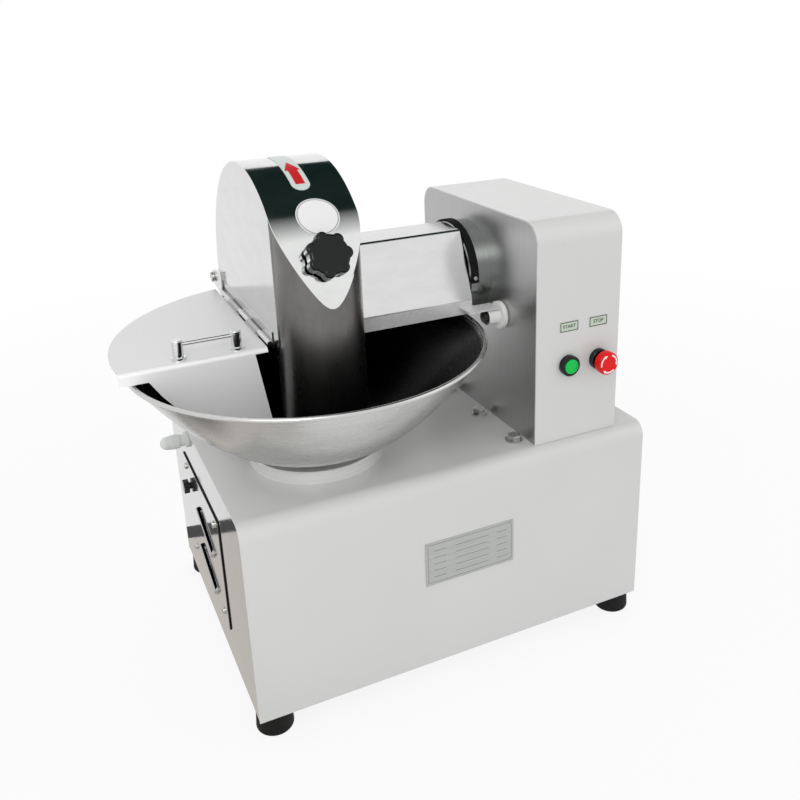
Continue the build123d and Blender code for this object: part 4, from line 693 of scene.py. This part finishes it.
def coverShadowGap():
    low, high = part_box("side_cover")
    corner, turn = shadowGapRim["corner"], 90 / shadowGapRim["steps"]
    front, rear = low[1] + corner, high[1] - corner
    bottom, top = low[2] + corner, high[2] - corner
    bends = [
        (y, z, radians(start + turn * step))
        for y, z, start in ((rear, top, 0), (front, top, 90), (front, bottom, 180), (rear, bottom, 270))
        for step in range(shadowGapRim["steps"] + 1)
    ]
    loops = []
    for grow, depth in (
        (-shadowGapRim["lap"], 0.0),
        (shadowGapRim["proud"], 0.0),
        (shadowGapRim["proud"], shadowGapRim["thick"]),
        (-shadowGapRim["lap"], shadowGapRim["thick"]),
    ):
        x, radius = baseLeft - shadowGapRim["gap"] - depth, corner + grow
        loops.append([(x, y + radius * cos(angle), z + radius * sin(angle)) for y, z, angle in bends])
    loft("coverShadowGap", loops, finishes["seal"], "machine", hollow=True)


coverShadowGap()

# direction arrow on the strip, in short steps so that it follows the band
arrow = {
    "wide": 0.0058,
    "head": 0.0094,
    "blunt": 0.02,  # share of the head's width left at the tip
    "low": 62.5,
    "neck": 72.5,
    "tip": 80.5,
    "steps": 6,
    "lifts": (0.0003, 0.00002),  # the face and the back, over the strip
}


def arrowStep(name, low, high, wideLow, wideHigh):
    # four-sided patch between two angles on the band
    sides = [(-wideLow, low), (wideLow, low), (wideHigh, high), (-wideHigh, high)]
    loops = [[onBand(across, angle, lift) for across, angle in sides] for lift in arrow["lifts"]]
    loft(name, loops, finishes["inkRed"], "cover", triangles=True)


def directionArrow():
    shaft, point = arrow["neck"] - arrow["low"], arrow["tip"] - arrow["neck"]
    wide, full = arrow["wide"], 1 + arrow["blunt"]
    for step in range(arrow["steps"]):
        share, after = step / arrow["steps"], (step + 1) / arrow["steps"]
        low, high = arrow["low"] + shaft * share, arrow["low"] + shaft * after
        arrowStep(f"arrowShaft{step}", low, high, wide, wide)
        low, high = arrow["neck"] + point * share, arrow["neck"] + point * after
        wideLow, wideHigh = arrow["head"] * (full - share), arrow["head"] * (full - after)
        arrowStep(f"arrowHead{step}", low, high, wideLow, wideHigh)


directionArrow()
print("marks made")

floor = {
    "size": 60,
    "drop": 0.0002,
    "colour": (0.82, 0.82, 0.82),
    "share": 0.86,  # of plain white, beside the machine
    "fade": (0.9, 2.2),  # metres from the middle, over which the shadows give way to plain white
}


def stageFinish(name):
    # pale sheet that keeps shadows but shows nearly white to the camera and in metal
    finish = Finish(name, baseColor=floor["colour"], roughness=0.9)
    seen = finish.seen()
    away = finish.split(finish.turned((0, 0, 0), "Z"))[0]
    share = finish.ramp(away, floor["share"], 1.0, *floor["fade"])
    finish.surface(finish.blend(seen * share, finish.out(finish.shader), finish.glow((1, 1, 1))))
    return finish.material


bpy.ops.mesh.primitive_plane_add(size=floor["size"], location=(0, 0, -floor["drop"]))
floorSheet = bpy.context.object
floorSheet.name = "floor"
floorSheet.data.materials.append(stageFinish("floorPale"))

daylight = {"cast": 0.88, "seen": 1.0}  # strength on the machine, and to the camera and in metal
world = bpy.data.worlds.new("studio")
bpy.context.scene.world = world
world.use_nodes = True
sky = Graph(world.node_tree)
strength = sky.ramp(sky.seen(), daylight["cast"], daylight["seen"])
backdrop = sky.node("ShaderNodeBackground", None, {"Color": (1, 1, 1), "Strength": strength})
sky.node("ShaderNodeOutputWorld", None, {"Surface": sky.out(backdrop)})

lamps = {
    "keyLamp": {"spot": (-1.1, -1.5, 1.9), "aim": (0.0, 0.0, 0.35), "wide": 1.4, "tall": 1.0, "power": 8.0},
    "fillLamp": {"spot": (1.7, -1.2, 1.1), "aim": (0.0, 0.0, 0.35), "wide": 1.2, "tall": 1.2, "power": 2.5},
    "topLamp": {"spot": (0.1, 0.3, 2.3), "aim": (0.0, 0.0, 0.3), "wide": 1.2, "tall": 1.2, "power": 3.0},
}
# soft spot that reaches the lid's flap inside the bowl
flapSpot = {
    "spot": (-0.9, -1.3, 1.5),
    "aim": (-0.22, -0.08, 0.43),
    "cone": 17.0,
    "blend": 0.9,
    "soft": 0.25,
    "power": 32.0,
}


def aimed(name, kind, lamp):
    data = bpy.data.lights.new(name, kind)
    data.energy = lamp["power"]
    piece = bpy.data.objects.new(name, data)
    bpy.context.scene.collection.objects.link(piece)
    piece.location = lamp["spot"]
    toward = Vector(lamp["aim"]) - Vector(lamp["spot"])
    piece.rotation_euler = toward.to_track_quat("-Z", "Y").to_euler()
    return data


for name, lamp in lamps.items():
    data = aimed(name, "AREA", lamp)
    data.shape = "RECTANGLE"
    data.size = lamp["wide"]
    data.size_y = lamp["tall"]
spotData = aimed("flapSpot", "SPOT", flapSpot)
spotData.spot_size = radians(flapSpot["cone"])
spotData.spot_blend = flapSpot["blend"]
spotData.shadow_soft_size = flapSpot["soft"]


def studioCard(name, outline, height, dark, pale=None, share=None):
    # a card that only polished metal sees, as a studio hides it from the lens
    finish = Finish(name, baseColor=(0, 0, 0), roughness=1.0)
    surface = finish.glow(dark)
    if share:
        surface = finish.blend(share(finish), finish.glow(pale), surface)
    finish.surface(surface)
    mesh = bpy.data.meshes.new(name)
    mesh.from_pydata([(x, y, height) for x, y in outline], [], [tuple(range(len(outline)))])
    card = bpy.data.objects.new(name, mesh)
    bpy.context.scene.collection.objects.link(card)
    card.data.materials.append(finish.material)
    card.visible_camera = False
    card.visible_diffuse = False
    card.visible_shadow = False
    card.visible_transmission = False


flag = {
    "left": -0.1,
    "right": 1.6,
    "front": -0.82,
    "full": -0.26,  # dark from here back
    "back": 1.65,
    "height": 1.76,
    "dark": (0.006, 0.016, 0.014),
    "pale": (1, 1, 1),
}
mat = {
    "near": (-0.20, 0.350),
    "far": (-0.70, 0.238),
    "front": -0.5,
    "left": -0.9,
    "strip": (0.036, 0.080),
    "lift": 0.0004,
    "shade": (-0.60, 0.10),
    "shadeReach": (0.27, 0.22),
    "shadeCore": 0.45,
    "dark": (0.21, 0.21, 0.21),
    "pale": (0.68, 0.64, 0.60),
    "edge": (0.09, 0.09, 0.09),
}


def flagFade(finish):
    # pale at the front edge, dark further back
    return finish.ramp(finish.split(finish.place())[1], 0.0, 1.0, flag["front"], flag["full"])


def tableShade(finish):
    # a soft dark patch beside the cabinet
    wide, deep = mat["shadeReach"]
    across, along = finish.split(finish.stretched((1 / wide, 1 / deep, 0), (*mat["shade"], 0)))[:2]
    return finish.ramp(across * across + along * along, 1.0, 0.0, mat["shadeCore"], 1.0)


flagOutline = [
    (flag["left"], flag["front"]),
    (flag["right"], flag["front"]),
    (flag["right"], flag["back"]),
    (flag["left"], flag["back"]),
]
matOutline = [(mat["near"][0], mat["front"]), mat["near"], mat["far"], (mat["left"], mat["front"])]
edgeOutline = [
    mat["near"],
    (mat["near"][0], mat["near"][1] + mat["strip"][0]),
    (mat["far"][0], mat["far"][1] + mat["strip"][1]),
    mat["far"],
]
studioCard("flagOver", flagOutline, flag["height"], flag["dark"], flag["pale"], flagFade)
studioCard("tableCard", matOutline, mat["lift"], mat["dark"], mat["pale"], tableShade)
studioCard("tableEdge", edgeOutline, 2 * mat["lift"], mat["edge"])

camera = {
    "spot": (-0.4098, -1.0686, 0.8661),
    "azimuth": -24.89,
    "elevation": 19.25,
    "roll": -1.82,
    "focal": 883.41,  # this, the middle and the picture in pixels
    "middle": (424.3, 320.9),
    "picture": 800,
    "sensor": 36.0,
    "clip": (0.05, 60),
}
turn, lift, roll = (radians(camera[key]) for key in ("azimuth", "elevation", "roll"))
back = Vector((sin(turn) * cos(lift), -cos(turn) * cos(lift), sin(lift)))
across = Vector((0, 0, 1)).cross(back).normalized()
upward = back.cross(across)
right = cos(roll) * across + sin(roll) * upward
above = -sin(roll) * across + cos(roll) * upward
cameraData = bpy.data.cameras.new("camera")
cameraPiece = bpy.data.objects.new("camera", cameraData)
bpy.context.scene.collection.objects.link(cameraPiece)
facing = Matrix((right, above, back)).transposed().to_4x4()
cameraPiece.matrix_world = Matrix.Translation(camera["spot"]) @ facing
cameraData.sensor_width = camera["sensor"]
cameraData.lens = camera["sensor"] * camera["focal"] / camera["picture"]
cameraData.shift_x = (camera["picture"] / 2 - camera["middle"][0]) / camera["picture"]
cameraData.shift_y = (camera["middle"][1] - camera["picture"] / 2) / camera["picture"]
cameraData.clip_start, cameraData.clip_end = camera["clip"]
bpy.context.scene.camera = cameraPiece
bpy.context.scene.view_settings.view_transform = "Standard"
print("stage set")
